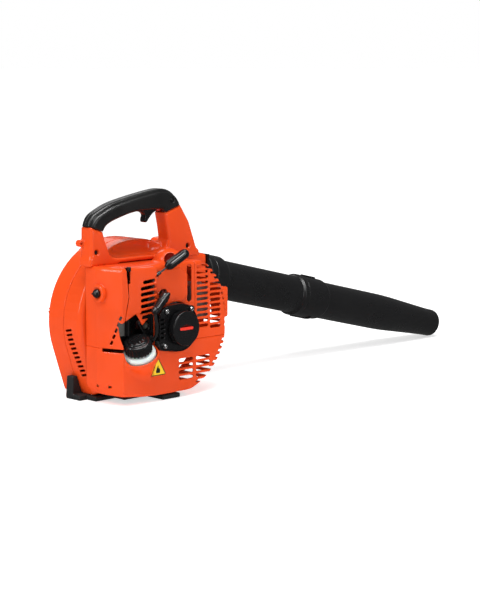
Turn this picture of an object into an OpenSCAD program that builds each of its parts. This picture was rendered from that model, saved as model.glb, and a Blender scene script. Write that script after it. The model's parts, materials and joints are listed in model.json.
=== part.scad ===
// Hand-held petrol leaf blower. Engine frame: the crank and fan turn about an axis along Y through x = 0,
// +X is the way the pipe points, -Y is the engine side, +Z is up and z = 0 is the ground.

/* [Fan case] */
// Height of the crank and fan axis above the ground
crank_z = 125; // [124:0.5:126]
// Radius of the scroll at its front, where it is smallest
scroll_r0 = 107; // [105:1:108]
// How far the scroll has grown by the time it reaches its flat underside
scroll_growth = 12; // [10:1:13]
// Radius of the round rear of the scroll
rear_r = 139; // [137:1:140]
// Wall thickness of the moulded cases and covers
wall = 2.5; // [2:0.1:3]
// Radius of the air intake
intake_r = 62; // [58:1:64]

/* [Engine side] */
// Distance of the cover's outer face from the plane of the crank, towards the engine side
side_y = 88; // [87:0.5:89]
// Radius of the round front of the engine covers
drum_r = 124; // [122:1:124]
// Radius of the starter's round cap
starter_cap_r = 30; // [28:1:32]

/* [Engine] */
// Cylinder bore, across
bore_d = 34; // [33:0.5:34]
// Piston stroke
stroke = 28; // [26:0.5:28]
// Number of cooling fins on the cylinder
fin_count = 10; // [8:1:10]

/* [Fan] */
// Tip radius of the impeller
impeller_r = 95; // [90:1:97]
// Number of impeller blades
blade_count = 12; // [8:1:14]

/* [Pipe] */
// Downward slope of the pipe, in degrees
pipe_tilt = 13.5; // [13:0.1:13.6]
// Outer radius of the pipe
pipe_r = 36; // [35:0.5:36]
// Outer radius of the nozzle's tip
tip_r = 28; // [26:0.5:28]
// Length of the nozzle from its collar's end to its tip
nozzle_len = 424; // [400:1:424]

/* [Handle] */
// Width of the handle, across
grip_w = 30; // [28:1:31]
// Middle plane of the handle
grip_y = -15; // [-16:0.5:-14]

/* [Hidden] */
$fn = 48;

orange = "orangered";
black = "#1c1c1c";
metal = "silver";
eps = 0.01;
gap = 0.3;           // clearance between pieces that come apart

// The row's origin is under the middle of the whole blower
row_shift = [-347.5, 10.5, 0];

// Fan case, along Y
case_y0 = -10;
case_mid = 35;
case_y1 = 80;
mouth_x = 150;       // front of the outlet duct
mouth_z = crank_z + 67.9;
mouth_half = 39;
rear_centre = [-7, 131];
case_foot = 9.3;     // height of the flat underside
flat_angle = 76;     // where the scroll meets it

// Engine covers
drum_x = 3;          // centre of the round front
drum_z = crank_z + 4;
rear_x = -136;
cover_top = 235;
seam_z = 98;         // between the upper covers and the lower one
seam_x = -108;       // between the air cleaner cover and the engine cover
guard_x = 46.5;      // between the engine cover and the muffler guard
corner_y = -39;      // where the rear face turns towards the side
corner_x = -118;     // and where it meets the side

// Crank train, along Y and Z
cyl_y = -42;
shaft_r = 7.45;
bearing_r = 7.5;
web_r = 20;
pin_z = crank_z + stroke / 2 + 40;
deck_z = 160;

plate_top = 11;      // base plate that closes the lower cover

// Fuel tank and its filler, which leans out of the rear corner
tank_top = 84;
filler = [-86, -90, 101];
filler_rot = [15, -24.5, 0];
cap_r = 24;

// Starter rope: it leaves the raised panel's edge and rises forwards and outwards
step_x = -46.8;
step_y = -95.5;
rope_exit = [step_x, -91.5, 217];
pull_tilt = 30.7;
pull_out = -11;
pull_way = [cos(pull_tilt) * cos(pull_out), cos(pull_tilt) * sin(pull_out), sin(pull_tilt)];

// Spark plug, from the bore to its boot
plug_seat = [-15, -67, 190.2];
plug_top = [-35, -99, 181.2];
plug_way = (plug_top - plug_seat) / norm(plug_top - plug_seat);
plug_foot = plug_seat - 11 * plug_way;

// Pipe axis: it starts at pipe_p and runs down towards the tip
pipe_p = [181, 35, 185.5];
joint_s = 252;       // end of the straight pipe's own barrel
nozzle_end = joint_s + nozzle_len;

function scroll_r(a) = scroll_r0 + scroll_growth * a / flat_angle;
function scroll_point(a, inset) = [0, crank_z] + (scroll_r(a) - inset) * [cos(a), -sin(a)];
function rear_point(a, inset) = rear_centre + (rear_r - inset) * [cos(a), sin(a)];
function unit(v) = v / norm(v);

// Extrudes a drawing of the x-z plane from y0 to y1
module slab(y0, y1) translate([0, y1, 0]) rotate([90, 0, 0]) linear_extrude(y1 - y0) children();
// The same, drawn about the crank axis
module crank_slab(y0, y1) translate([0, 0, crank_z]) slab(y0, y1) children();
module y_rod(x, z, y0, y1, r) translate([x, y0, z]) rotate([-90, 0, 0]) cylinder(h = y1 - y0, r = r);
module x_rod(y, z, x0, x1, r) translate([x0, y, z]) rotate([0, 90, 0]) cylinder(h = x1 - x0, r = r);
module block(lo, hi) translate(lo) cube(hi - lo);

module rod(p, q, r) {
    d = q - p;
    translate(p) rotate([0, acos(d[2] / norm(d)), atan2(d[1], d[0])]) cylinder(h = norm(d), r = r, $fn = 24);
}

// A flexible tube of radius r along hand-set points, smoothed by a Catmull-Rom curve
function curve_point(p, i, t) = let (
    a = p[max(i - 1, 0)], b = p[i], c = p[i + 1], d = p[min(i + 2, len(p) - 1)])
    b + t * (c - a) / 2 + t * t * (a - 2.5 * b + 2 * c - d / 2) + t * t * t * (-a / 2 + 1.5 * b - 1.5 * c + d / 2);
function curve(p, steps) = concat(
    [for (i = [0:len(p) - 2]) for (k = [0:steps - 1]) curve_point(p, i, k / steps)], [p[len(p) - 1]]);
function turned(side, along) = unit(side - (side * along) * along);
function frames(way, i, side) = i == len(way) ? [] : let (s = turned(side, way[i])) concat([s], frames(way, i + 1, s));
module tube(points, r, sides = 8, steps = 4, start = [0.31, 0.87, 0.38]) {
    path = curve(points, steps);
    last = len(path) - 1;
    way = [for (i = [0:last]) unit(path[min(i + 1, last)] - path[max(i - 1, 0)])];
    side = frames(way, 0, start);
    polyhedron(
        [for (i = [0:last]) for (k = [0:sides - 1]) let (a = 360 * k / sides)
            path[i] + r * (cos(a) * side[i] + sin(a) * cross(way[i], side[i]))],
        concat([[for (k = [0:sides - 1]) k]],
            [for (i = [0:last - 1]) for (k = [0:sides - 1])
                [i * sides + k, (i + 1) * sides + k, (i + 1) * sides + (k + 1) % sides, i * sides + (k + 1) % sides]],
            [[for (k = [sides - 1:-1:0]) last * sides + k]]));
}

// A round-ended slot of overall length len, turned by angle
module slot(x, z, len, high, angle = 0) translate([x, z]) rotate(angle) {
    square([len - high, high], center = true);
    for (side = [-1, 1]) translate([side * (len - high) / 2, 0]) circle(d = high, $fn = 24);
}

// ---- fan case ----

// The scroll grows round its front and underside, has a skirt down to the rear foot and a round rear and top
module scroll_outline(inset, reach) polygon(concat(
    [for (a = [0:6:72]) scroll_point(a, inset)],
    [[24, case_foot + inset], [-113 + inset, case_foot + inset], [-123.5 + inset, 40], [-134.5 + inset, 74]],
    [for (a = [200:-6:74]) rear_point(a, inset)],
    [[reach, mouth_z + mouth_half - inset], [reach, mouth_z - mouth_half + inset],
     [scroll_r0 - inset, crank_z + 20 + inset]]));

// Screw pillars, inside the scroll against its wall. The screws go in from the far side.
pillar_r = 5.5;
head_y = 48;
pillars = [scroll_point(15, 7), scroll_point(50, 7), [-104, 18], rear_point(172, 7), rear_point(118, 7)];
module near_pillars() for (at = pillars) difference() {
    y_rod(at[0], at[1], case_y0 + 1, case_mid, pillar_r);
    y_rod(at[0], at[1], 18, case_mid + 1, 2.1);
}
module far_pillars() for (at = pillars) y_rod(at[0], at[1], case_mid, case_y1 - 1, pillar_r + 1);
module far_pillar_holes() for (at = pillars) {
    y_rod(at[0], at[1], case_mid - 1, case_y1, 2.3);
    y_rod(at[0], at[1], head_y, case_y1 + 1, 4.6);
}

module rear_post() polygon([[-134, 300], [-108, 291], [-104, 277], [-90.6, 246], [-78, 236.3], [-136, 236.3],
    [-135, 262]]);
module front_post() polygon([[30, 315], [67.6, 327], [87.6, 297], [100.7, 262.5], [110, 236.3], [8, 236.3],
    [26, 243], [36, 255], [38.5, 267], [35.6, 288]]);
module deck() polygon([[-136, 236.3], [110, 236.3], [110, 244], [8, 244], [-20, 246], [-78, 244], [-136, 244]]);
module posts() {
    rear_post();
    front_post();
    deck();
}

post_y0 = grip_y - grip_w / 2;
post_y1 = grip_y + grip_w / 2;
module fan_case_inner() color(orange) difference() {
    union() {
        difference() {
            slab(case_y0, case_mid) scroll_outline(0, mouth_x);
            slab(case_y0 + wall, case_mid + 1) scroll_outline(wall, mouth_x + 1);
        }
        near_pillars();
        difference() {
            slab(post_y0, post_y1) posts();
            slab(case_y0 + eps, case_y1) scroll_outline(wall / 2, mouth_x);
        }
        // rear lug with its cord hole
        difference() {
            y_rod(-137, 272, -9, 3, 6);
            y_rod(-138.5, 272, -10, 4, 2.2);
        }
    }
    y_rod(0, crank_z, case_y0 - 1, case_y0 + wall + 1, 12);
    // cable duct inside the front post and out through the deck
    slab(post_y0 + 4, grip_y + 7) polygon([[38, 330], [60, 330], [72, 300], [84, 262], [88, 236], [60, 236],
        [48, 250], [47, 290]]);
    slab(post_y0 + 4, grip_y + 7) polygon([[-128, 300], [-113, 301], [-108, 275], [-100, 240], [-128, 240]]);
    for (at = [[-123.4, 257.6], [83.6, 254]]) {
        y_rod(at[0], at[1], post_y0 - 1, post_y0 + 3, 4.6);
        y_rod(at[0], at[1], post_y0 - 1, post_y0 + 14, 2.1);
    }
    // slanted vents in the rear of the scroll
    for (i = [0:10]) translate([-134, 22 - i * 1.5, 122 - i * 7.8]) rotate([-12, 0, 0])
        cube([30, 16, 3.6], center = true);
}

module fan_case_outer() color(orange) {
    rim = 8;
    difference() {
        union() {
            difference() {
                union() {
                    slab(case_mid, case_y1 - rim) scroll_outline(0, mouth_x);
                    hull() {
                        slab(case_y1 - rim - eps, case_y1 - rim) scroll_outline(0, mouth_x);
                        slab(case_y1 - rim / 3, case_y1 - rim / 3 + eps) scroll_outline(2, mouth_x);
                        slab(case_y1 - eps, case_y1) scroll_outline(rim, mouth_x);
                    }
                }
                slab(case_mid - 1, case_y1 - rim) scroll_outline(wall, mouth_x + 1);
                slab(case_mid - 1, case_y1 - wall) scroll_outline(rim, mouth_x + 1);
            }
            far_pillars();
        }
        far_pillar_holes();
        y_rod(0, crank_z, case_y1 - wall - 1, case_y1 + 1, intake_r);
    }
}

// ---- fan ----

// One backward-curved blade, drawn in the plane of the fan
module blade() {
    steps = 6;
    inner = 46;
    function edge(t, side) = let (r = inner + (impeller_r - 1 - inner) * t, a = -38 * t + side * 2.2)
        r * [cos(a), sin(a)];
    polygon(concat([for (k = [0:steps]) edge(k / steps, -1 + k / steps / 2)],
        [for (k = [steps:-1:0]) edge(k / steps, 1 - k / steps / 2)]));
}
module impeller() color("#26262a") difference() {
    union() {
        y_rod(0, crank_z, -4, 0, impeller_r);
        y_rod(0, crank_z, -4, 42, 17);
        crank_slab(-1, 58) for (i = [0:blade_count - 1]) rotate(i * 360 / blade_count) blade();
        difference() {
            y_rod(0, crank_z, 57, 60, impeller_r);
            y_rod(0, crank_z, 56, 61, 66);
        }
    }
    y_rod(0, crank_z, -5, 43, shaft_r);
}

module grille_rib() polygon([[11, case_y1 + 13], [11, case_y1 + 16.5], [38, case_y1 + 15], [56, case_y1 + 9.5],
    [intake_r + 6, case_y1 + 3], [intake_r + 6, case_y1], [intake_r - 2, case_y1 + 1], [54, case_y1 + 6.5],
    [38, case_y1 + 11.5]]);
module intake_grille() color(black) translate([0, 0, crank_z]) rotate([-90, 0, 0]) {
    rotate_extrude() {
        translate([intake_r - 2, case_y1]) square([12, 3]);
        translate([0, case_y1 + 13]) square([14, 3.5]);
        for (ring = [[26, 12.6], [38, 11.6], [50, 8.4]]) translate([ring[0], case_y1 + ring[1]]) square([2.4, 3]);
    }
    for (i = [0:15]) rotate([0, 0, i * 22.5]) rotate([90, 0, 0]) linear_extrude(2.2, center = true) grille_rib();
}

// ---- pipe: s is the distance along the pipe axis from pipe_p ----

module pipe_frame() translate(pipe_p) rotate([0, 90 + pipe_tilt, 0]) children();
module lathe() rotate_extrude($fn = 64) children();

module outlet_collar() color(black) difference() {
    union() {
        block([mouth_x, case_y0, mouth_z - mouth_half], [mouth_x + 4, case_y1, mouth_z + mouth_half]);
        intersection() {
            pipe_frame() translate([0, 0, -40]) cylinder(h = 59.7, r = pipe_r + 1.7, $fn = 64);
            block([mouth_x, -60, 50], [mouth_x + 100, 130, 300]);
        }
    }
    pipe_frame() translate([0, 0, -60]) cylinder(h = 120, r = pipe_r - 2, $fn = 64);
}

module straight_pipe() color(black) pipe_frame() lathe() polygon([
    [pipe_r + 2, -16], [pipe_r + 5, -16], [pipe_r + 5, 28], [pipe_r, 34], [pipe_r, joint_s - 14],
    [pipe_r + 4.5, joint_s - 12], [pipe_r + 4.5, joint_s - 1], [pipe_r, joint_s - 1], [pipe_r, joint_s + 20],
    [pipe_r - wall, joint_s + 20], [pipe_r - wall, 20], [pipe_r + 2, 20]]);

module nozzle() color(black) pipe_frame() {
    lathe() polygon([
        [pipe_r + gap, joint_s], [pipe_r + 3.6, joint_s], [pipe_r + 3.6, joint_s + 57], [pipe_r, joint_s + 61],
        [pipe_r, joint_s + 260], [tip_r, nozzle_end - 24], [tip_r, nozzle_end], [tip_r - 2, nozzle_end],
        [tip_r - 2, nozzle_end - 24], [pipe_r - wall, joint_s + 258], [pipe_r - wall, joint_s + 21],
        [pipe_r + gap, joint_s + 21]]);
    // raised hook of the bayonet
    for (turn = [0, 180]) rotate([0, 0, turn]) intersection() {
        difference() {
            translate([0, 0, joint_s]) cylinder(h = 46, r = pipe_r + 6);
            translate([0, 0, joint_s - 1]) cylinder(h = 48, r = pipe_r + 3.5);
        }
        translate([0, 0, joint_s]) union() {
            block([-60, -8, 0], [0, -3, 40]);
            block([-60, -8, 35], [0, 16, 40]);
        }
    }
}

// ---- engine covers ----

module side_outline(inset) intersection() {
    union() {
        translate([drum_x, drum_z]) circle(r = drum_r - inset, $fn = 96);
        polygon([[rear_x + inset, 34], [-124, 18 + inset], [-60, 10 + inset], [0, 8 + inset], [0, cover_top - inset],
            [rear_x + inset, cover_top - inset]]);
    }
    translate([-200, 0]) square([400, cover_top - inset]);
}
module side_plan(inset) polygon([[rear_x + inset, case_y0 - 0.5], [rear_x + inset, corner_y],
    [corner_x + inset / 2, -side_y + inset], [118, -side_y + inset], [130, -side_y + 12], [130, case_y0 - 0.5]]);
module side_solid(inset) intersection() {
    slab(-side_y - 1, case_y0 - 0.5) side_outline(inset);
    linear_extrude(300) side_plan(inset);
}
module side_shell() difference() {
    side_solid(0);
    // the shell is open towards the fan case
    side_solid(wall);
    translate([0, wall + 1, 0]) side_solid(wall);
}

module starter_opening() y_rod(0, crank_z, -side_y - 2, -side_y + wall + 2, 43);
module filler_space(r) translate(filler) rotate(filler_rot) translate([0, 0, -48]) cylinder(h = 96, r = r);

// The slotted panel stands proud: it covers the starter rope on its way up
module raised_panel(inset, foot) translate([0, 0, foot]) linear_extrude(cover_top - 2 - inset - foot)
    polygon([[seam_x + 2 + 2 * inset, -side_y + 1.7 * inset / wall], [step_x - inset, step_y + inset],
        [step_x - inset, -side_y + wall + inset], [seam_x + 2 + 2 * inset, -side_y + wall + inset]]);
module cover_region() slab(step_y - 1, case_y0) polygon([[seam_x + gap, cover_top + 1], [seam_x + 5, 186],
    [seam_x - 8, 123], [-104, 110], [-56, 150], [-48, 150], [-48, seam_z + gap], [guard_x - gap, seam_z + gap],
    [guard_x - gap, cover_top + 1]]);
module engine_cover() color(orange) difference() {
    intersection() {
        union() {
            side_shell();
            raised_panel(0, 156);
        }
        cover_region();
    }
    raised_panel(wall, 156 + wall);
    block([-56, step_y - 1, 150], [-44, -86, 166]);
    starter_opening();
    filler_space(cap_r + 3);
    pull_frame() translate([0, 0, -8]) cylinder(h = 11, r = 3);
    rod(plug_seat, plug_top, 7);
    slab(step_y - 2, -side_y + wall + 1) {
        for (i = [0:6]) slot(-62.5, 149 + i * 10, i == 0 || i == 6 ? 24 : 34, 6, 6);
        translate([33.5, 197.5]) square([11, 65], center = true);
    }
    // slot for the choke lever and way through for the cable
    block([seam_x - 1, -side_y - 2, 208], [seam_x + 8, -side_y + 16, cover_top + 1]);
}

module muffler_guard() color(orange) difference() {
    intersection() {
        side_shell();
        block([guard_x, -side_y - 1, seam_z + gap], [140, case_y0, cover_top + 1]);
    }
    starter_opening();
    slab(-side_y - 2, -side_y + wall + 1) for (i = [0:11]) slot(64.5, 120 + i * 9.4, 27, 5.2);
    block([58, -30, cover_top - wall - 5], [82, case_y0, cover_top + 1]);
    for (i = [0:8]) {
        z = 116 + i * 9.4;
        slab(-side_y - 2, -side_y + wall + 1) slot(95, z, 25, 5.2);
        block([110, -side_y + 6, z - 2.6], [140, -24, z + 2.6]);
    }
}

module lower_cover() color(orange) difference() {
    intersection() {
        side_shell();
        block([-140, -side_y - 1, 0], [140, case_y0, seam_z]);
    }
    starter_opening();
    filler_space(30.5);
    slab(-side_y - 2, -side_y + wall + 1) for (i = [0:3]) for (x = [25.5, 65.5]) slot(x, 34 + i * 10.2, 33, 6);
    for (i = [0:4]) block([96 - i * 7, -side_y + 5, 62 - i * 10], [130, -30, 66.5 - i * 10]);
    y_rod(-127, 33, -side_y - 1, 0, 2.2);
    translate([-140, -39, 33]) rotate([0, 90, 0]) cylinder(h = 20, r = 2.2);
    block([-140, -side_y - 1, 0], [46, case_y0, plate_top + gap]);
}

module hazard_label() color("gold") slab(-side_y - 0.6, -side_y) polygon([[-59, 47], [-25, 47], [-42, 76]]);

module air_cleaner_cover() color(orange) difference() {
    intersection() {
        side_shell();
        slab(-side_y - 1, case_y0 - 1) polygon([[rear_x - 1, seam_z + gap], [-110.5, seam_z + gap], [seam_x - 8.6, 123],
            [seam_x + 4.4, 186], [seam_x - gap, cover_top + 1], [rear_x - 1, cover_top + 1]]);
    }
    filler_space(cap_r + 3);
    x_rod(-46, 191, rear_x - 5, rear_x + 12, 4.5);
    for (i = [0:4]) translate([-119, -84 + i * 4.6, 151 - i * 10.5]) rotate([30, 0, 20]) cube([14, 4.4, 8], center = true);
}

// ---- air cleaner ----

stud_y = -46;
stud_z = 191;
module cover_stud() color(metal) x_rod(stud_y, stud_z, -131, -98, 2.5);
module cover_knob() color(black) difference() {
    union() {
        x_rod(stud_y, stud_z, -136, -124, 4.2);
        x_rod(stud_y, stud_z, -141, -136.3, 7.5);
        translate([-139.5, stud_y, stud_z]) sphere(r = 4);
    }
    x_rod(stud_y, stud_z, -133, -123, 2.56);
}
base_x = -98;
module air_cleaner_base() color(black) difference() {
    union() {
        block([base_x, -78, 118], [base_x + 3, -16, 226]);
        x_rod(cyl_y, 169, base_x, base_x + 5.8, 16);
        x_rod(stud_y, stud_z, base_x, base_x + 6, 5);
    }
    x_rod(cyl_y, 169, base_x - 1, base_x + 8, 10);
    x_rod(-62, 214, base_x - 1, base_x + 8, 3.05);
}
module air_filter() color("dimgray") difference() {
    block([-113, -70, 118], [base_x - gap, -22, 205]);
    x_rod(stud_y, stud_z, -115, base_x + 1, 4);
}
choke_pivot = [-101, -62, 214];
module choke_lever() color(black) {
    x_rod(choke_pivot[1], choke_pivot[2], -105.5, -93, 3);
    hull() {
        x_rod(choke_pivot[1], choke_pivot[2], -105.5, -102, 5);
        x_rod(-84, 230, -105.5, -102, 4);
    }
    x_rod(-88, 233, -106.5, -101.3, 5);
}

// ---- handle ----

module grip_outline() polygon([[-134, 300.3], [-133, 311], [-127, 319], [-118, 325], [-89, 338], [-45, 347.5],
    [-4, 354.5], [19, 357.5], [36, 356.5], [50, 351], [59, 343], [67.6, 327.3], [30, 315.3], [28, 321], [20, 322.5],
    [-27, 321.6], [-50, 318], [-84, 308.5], [-97, 303], [-104, 297], [-108, 291.3]]);
module grip_hollow() polygon([[-128, 301], [-127, 310], [-115, 320.5], [-88, 333], [-44, 342.5], [-4, 349.8],
    [19, 352.6], [34, 351.6], [46, 347], [54, 340], [62, 322], [44, 316], [36, 324.5], [20, 326],
    [-27, 325], [-51, 321.6], [-86, 311.8], [-100, 305], [-108, 297]]);
module trigger_slot() polygon([[-26, 318], [36, 318], [36, 327], [-26, 327]]);
trigger_pivot = [20, 333];
grip_screw = [47.6, 336];
module grip_right() color(black) difference() {
    union() {
        difference() {
            slab(post_y0, grip_y) grip_outline();
            slab(post_y0 + wall, grip_y + 1) grip_hollow();
        }
        y_rod(grip_screw[0], grip_screw[1], post_y0 + 1, grip_y, 5);
        y_rod(trigger_pivot[0], trigger_pivot[1], post_y0 + 1, grip_y - 7, 4);
    }
    y_rod(grip_screw[0], grip_screw[1], post_y0 - 1, grip_y + 1, 2.2);
    y_rod(grip_screw[0], grip_screw[1], post_y0 - 1, post_y0 + 2, 4.6);
    y_rod(trigger_pivot[0], trigger_pivot[1], post_y0 + 4, grip_y, 1.5);
    slab(grip_y - 7.5, grip_y + 7.5) trigger_slot();
}
module grip_left() color(black) difference() {
    union() {
        difference() {
            slab(grip_y, post_y1) grip_outline();
            slab(grip_y - 1, post_y1 - wall) grip_hollow();
        }
        y_rod(grip_screw[0], grip_screw[1], grip_y, post_y1 - 1, 5);
        y_rod(trigger_pivot[0], trigger_pivot[1], grip_y + 7, post_y1 - 1, 4);
    }
    y_rod(grip_screw[0], grip_screw[1], grip_y - 1, post_y1 - 4, 2.1);
    y_rod(trigger_pivot[0], trigger_pivot[1], grip_y, post_y1 - 4, 1.5);
    slab(grip_y - 7.5, grip_y + 7.5) trigger_slot();
}
module trigger_pin() color(metal)
    y_rod(trigger_pivot[0], trigger_pivot[1], post_y0 + 4, post_y1 - 4, 1.5);
module throttle_trigger() color(black) difference() {
    union() {
        y_rod(trigger_pivot[0], trigger_pivot[1], grip_y - 6.8, grip_y + 6.8, 4.5);
        slab(grip_y - 6.5, grip_y + 6.5) polygon([[20, 336], [24, 331], [19, 319.5], [10, 315], [2, 307],
            [-4, 300.5], [-9, 301], [-10, 306], [-7, 313], [-12, 318], [-20, 320], [-20, 323], [-4, 328], [14, 335]]);
    }
    y_rod(trigger_pivot[0], trigger_pivot[1], grip_y - 8, grip_y + 8, 1.55);
}
module stop_switch() color("red") slab(grip_y - 5, grip_y + 5)
    polygon([[25.4, 318], [31, 319.5], [31, 330], [25.4, 330]]);

cable = [[27, -15, 340], [36, -15, 332], [46, -15, 326.5], [57, -15, 319], [66, -15, 300], [72, -15, 268], [70, -16, 242],
    [66, -20, 231], [40, -22, 228], [-40, -22, 228], [-66, -22, 214], [-72.5, -23.5, 187]];
module throttle_cable() color(black) tube(cable, 2);

// ---- carburettor ----

carb_z = 169;
valve_x = -72;
module carburettor() color(metal) difference() {
    union() {
        block([-92, -60, 152], [-60, -30, 186]);
        x_rod(cyl_y, 144, -88, -66, 8);
        block([-88, -50, 140], [-66, -34, 153]);
    }
    x_rod(cyl_y, carb_z, -93, -59, 10);
    y_rod(valve_x, carb_z, -70, -20, 2.55);
    x_rod(-62, 214, -100, -50, 3.4);
}
module throttle_valve() color(metal) {
    y_rod(valve_x, carb_z, -59, -26, 2.5);
    x_rod(cyl_y, carb_z, valve_x - 0.6, valve_x + 0.6, 9.6);
    slab(-29.5, -27) {
        translate([valve_x, carb_z]) circle(r = 5);
        polygon([[valve_x - 4, carb_z], [valve_x + 4, carb_z], [valve_x + 2.5, carb_z + 14], [valve_x - 2.5, carb_z + 14]]);
    }
}
module primer_bulb() color("dimgray") {
    y_rod(-62, 133, -80, -74, 6.5);
    translate([-62, -80, 133]) sphere(r = 6.4);
}
module insulator_block() color(black) difference() {
    block([-60, -60, 150], [-38, -31, 188]);
    x_rod(cyl_y, carb_z, -61, -37, 9);
}

// ---- engine ----

module cylinder_fins() for (i = [0:fin_count - 1]) block([-36, cyl_y - 22, 168 + i * 6], [36, cyl_y + 22, 169.6 + i * 6]);
module engine_cylinder() color(metal) difference() {
    union() {
        block([-25, cyl_y - 23, deck_z], [25, cyl_y + 23, deck_z + 5]);
        translate([0, cyl_y, deck_z]) cylinder(h = 46, r = bore_d / 2 + 4);
        translate([0, cyl_y, deck_z + 40]) cylinder(h = 22.8, r = 15);
        cylinder_fins();
        block([-38, cyl_y - 13, 160.2], [-18, cyl_y + 13, 181]);
        block([18, cyl_y - 13, 160.2], [38, cyl_y + 13, 181]);
        rod(plug_foot - 3 * plug_way, plug_seat, 8.7);
    }
    translate([0, cyl_y, deck_z - 5]) cylinder(h = 44, r = bore_d / 2);
    x_rod(cyl_y, carb_z, -39, -10, 8);
    x_rod(cyl_y, carb_z, 10, 39, 7.6);
    rod(plug_foot - 9 * plug_way, plug_seat + plug_way, 5);
    rod(plug_seat, plug_top, 10.6);
}
piston_r = bore_d / 2 - 0.06;
module piston() color("lightgray") difference() {
    translate([0, cyl_y, pin_z - 12]) cylinder(h = 24, r = piston_r);
    translate([0, cyl_y, pin_z - 13]) cylinder(h = 21, r = piston_r - 3);
    y_rod(0, pin_z, cyl_y - 20, cyl_y + 20, 4.05);
}
module piston_pin() color(metal) y_rod(0, pin_z, cyl_y - 15.5, cyl_y + 15.5, 4);
module connecting_rod() color(metal) difference() {
    union() {
        y_rod(0, pin_z, cyl_y - 4.5, cyl_y + 4.5, 7);
        slab(cyl_y - 3.5, cyl_y + 3.5) polygon([[-4.5, pin_z], [4.5, pin_z], [6.5, crank_z + 18], [-6.5, crank_z + 18]]);
    }
    y_rod(0, pin_z, cyl_y - 5, cyl_y + 5, 4.05);
    y_rod(0, crank_z, cyl_y - 5, cyl_y + 5, web_r + 0.6);
}
module crankcase() color(metal) difference() {
    union() {
        y_rod(0, crank_z, cyl_y - 24, cyl_y + 24, 33);
        block([-25, cyl_y - 21, crank_z + 10], [25, cyl_y + 21, deck_z]);
        for (a = [45:90:315]) y_rod(26 * cos(a), crank_z + 26 * sin(a), cyl_y, case_y0, 6);
    }
    y_rod(0, crank_z, cyl_y - 14, cyl_y + 14, 23);
    y_rod(0, crank_z, cyl_y - 25, cyl_y + 25, 16);
    translate([0, cyl_y, crank_z]) cylinder(h = 50, r = bore_d / 2);
}
module crank_bearings() color(metal) for (y = [cyl_y - 24, cyl_y + 16]) difference() {
    y_rod(0, crank_z, y, y + 8, 16);
    y_rod(0, crank_z, y - 1, y + 9, bearing_r);
}
module crankshaft() color(metal) {
    y_rod(0, crank_z, -84, 40, shaft_r);
    for (y = [cyl_y - 11, cyl_y + 5]) y_rod(0, crank_z, y, y + 6, web_r);
    y_rod(0, crank_z + stroke / 2, cyl_y - 8, cyl_y + 8, 5);
}
module flywheel() color(metal) difference() {
    union() {
        y_rod(0, crank_z, -79, -72, 38);
        y_rod(0, crank_z, -80, -69, 14);
        for (a = [0:30:330]) translate([0, 0, crank_z]) rotate([0, a, 0]) block([16, -72.5, -1], [36, -68.5, 1]);
    }
    y_rod(0, crank_z, -81, -66, shaft_r);
}
module flywheel_nut() color(metal) difference() {
    translate([0, -80, crank_z]) rotate([90, 0, 0]) cylinder(h = 5, r = 11, $fn = 6);
    y_rod(0, crank_z, -86, -79, shaft_r);
}
module starter_cup() color(metal) difference() {
    y_rod(0, crank_z, -88, -80, 17);
    y_rod(0, crank_z, -89, -82, 14.5);
    y_rod(0, crank_z, -89, -79, 11.5);
}
module ignition_coil() color(black) {
    block([-54.5, -80, 108], [-46, -67, 136]);
    for (z = [113, 124]) block([-50, -78, z], [-39.6, -71, z + 5]);
}
lead = [[-63, -107, 158], [-61, -107, 146], [-56, -104, 134], [-53.5, -100, 120], [-52.5, -93, 110.5], [-51.5, -84, 112],
    [-51.5, -78, 114]];
module ignition_lead() color(black) tube(lead, 3);
module plug_boot() color(black) {
    hull() {
        translate(plug_top + [0, -3, 1]) sphere(r = 8, $fn = 32);
        translate([-63, -108, 160]) sphere(r = 6.5, $fn = 32);
    }
}
module spark_plug() color(metal) {
    rod(plug_foot, plug_seat + plug_way, 4.9);
    translate(plug_seat) rotate([0, acos(plug_way[2]), atan2(plug_way[1], plug_way[0])])
        cylinder(h = 7, r = 9, $fn = 6);
    rod(plug_seat + 6 * plug_way, plug_top, 4.4);
}
module muffler_gasket() color("dimgray") difference() {
    block([38.2, cyl_y - 13, 157], [39.6, cyl_y + 13, 181]);
    x_rod(cyl_y, carb_z, 38, 40, 9);
}
module muffler() color(metal) difference() {
    union() {
        block([39.8, -78, 132], [88, -24, 190]);
        x_rod(-50, 184, 88, 94, 7);
    }
    block([41.5, -76, 134], [86, -26, 188]);
    x_rod(cyl_y, carb_z, 39, 43, 9);
    x_rod(-50, 184, 85, 95, 5);
}

// ---- fuel ----

module tank_solid(inset) {
    block([-112 + inset, -82 + inset, 21 + inset], [2 - inset, -14 - inset, tank_top - inset]);
    translate(filler) rotate(filler_rot) {
        translate([0, 0, -40]) cylinder(h = 30 - inset, r = 28 - inset);
        translate([0, 0, -40]) cylinder(h = 42 + inset * 2, r = 19 - inset);
    }
}
module fuel_tank() color("white") difference() {
    tank_solid(0);
    tank_solid(2);
    y_rod(-20, 72, -20, -13, 3.05);
}
module fuel_cap() color(black) translate(filler) rotate(filler_rot) difference() {
    union() {
        translate([0, 0, -9]) cylinder(h = 20, r = cap_r - 1);
        for (i = [0:23]) rotate([0, 0, i * 15]) translate([cap_r - 1, 0, 1]) cube([2, 3, 18], center = true);
        translate([0, 0, 11]) cylinder(h = 3, r = 15);
    }
    translate([0, 0, -10]) cylinder(h = 13, r = 19.4);
}
hose = [[-20, -21, 72], [-20, -12.6, 72], [-40, -12.6, 96], [-66, -16, 130], [-72, -24, 143], [-72, -34, 143]];
module fuel_line() color("olivedrab") tube(hose, 2);
module fuel_filter() color(metal) y_rod(-20, 72, -36, -21, 6);

// ---- recoil starter ----

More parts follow.
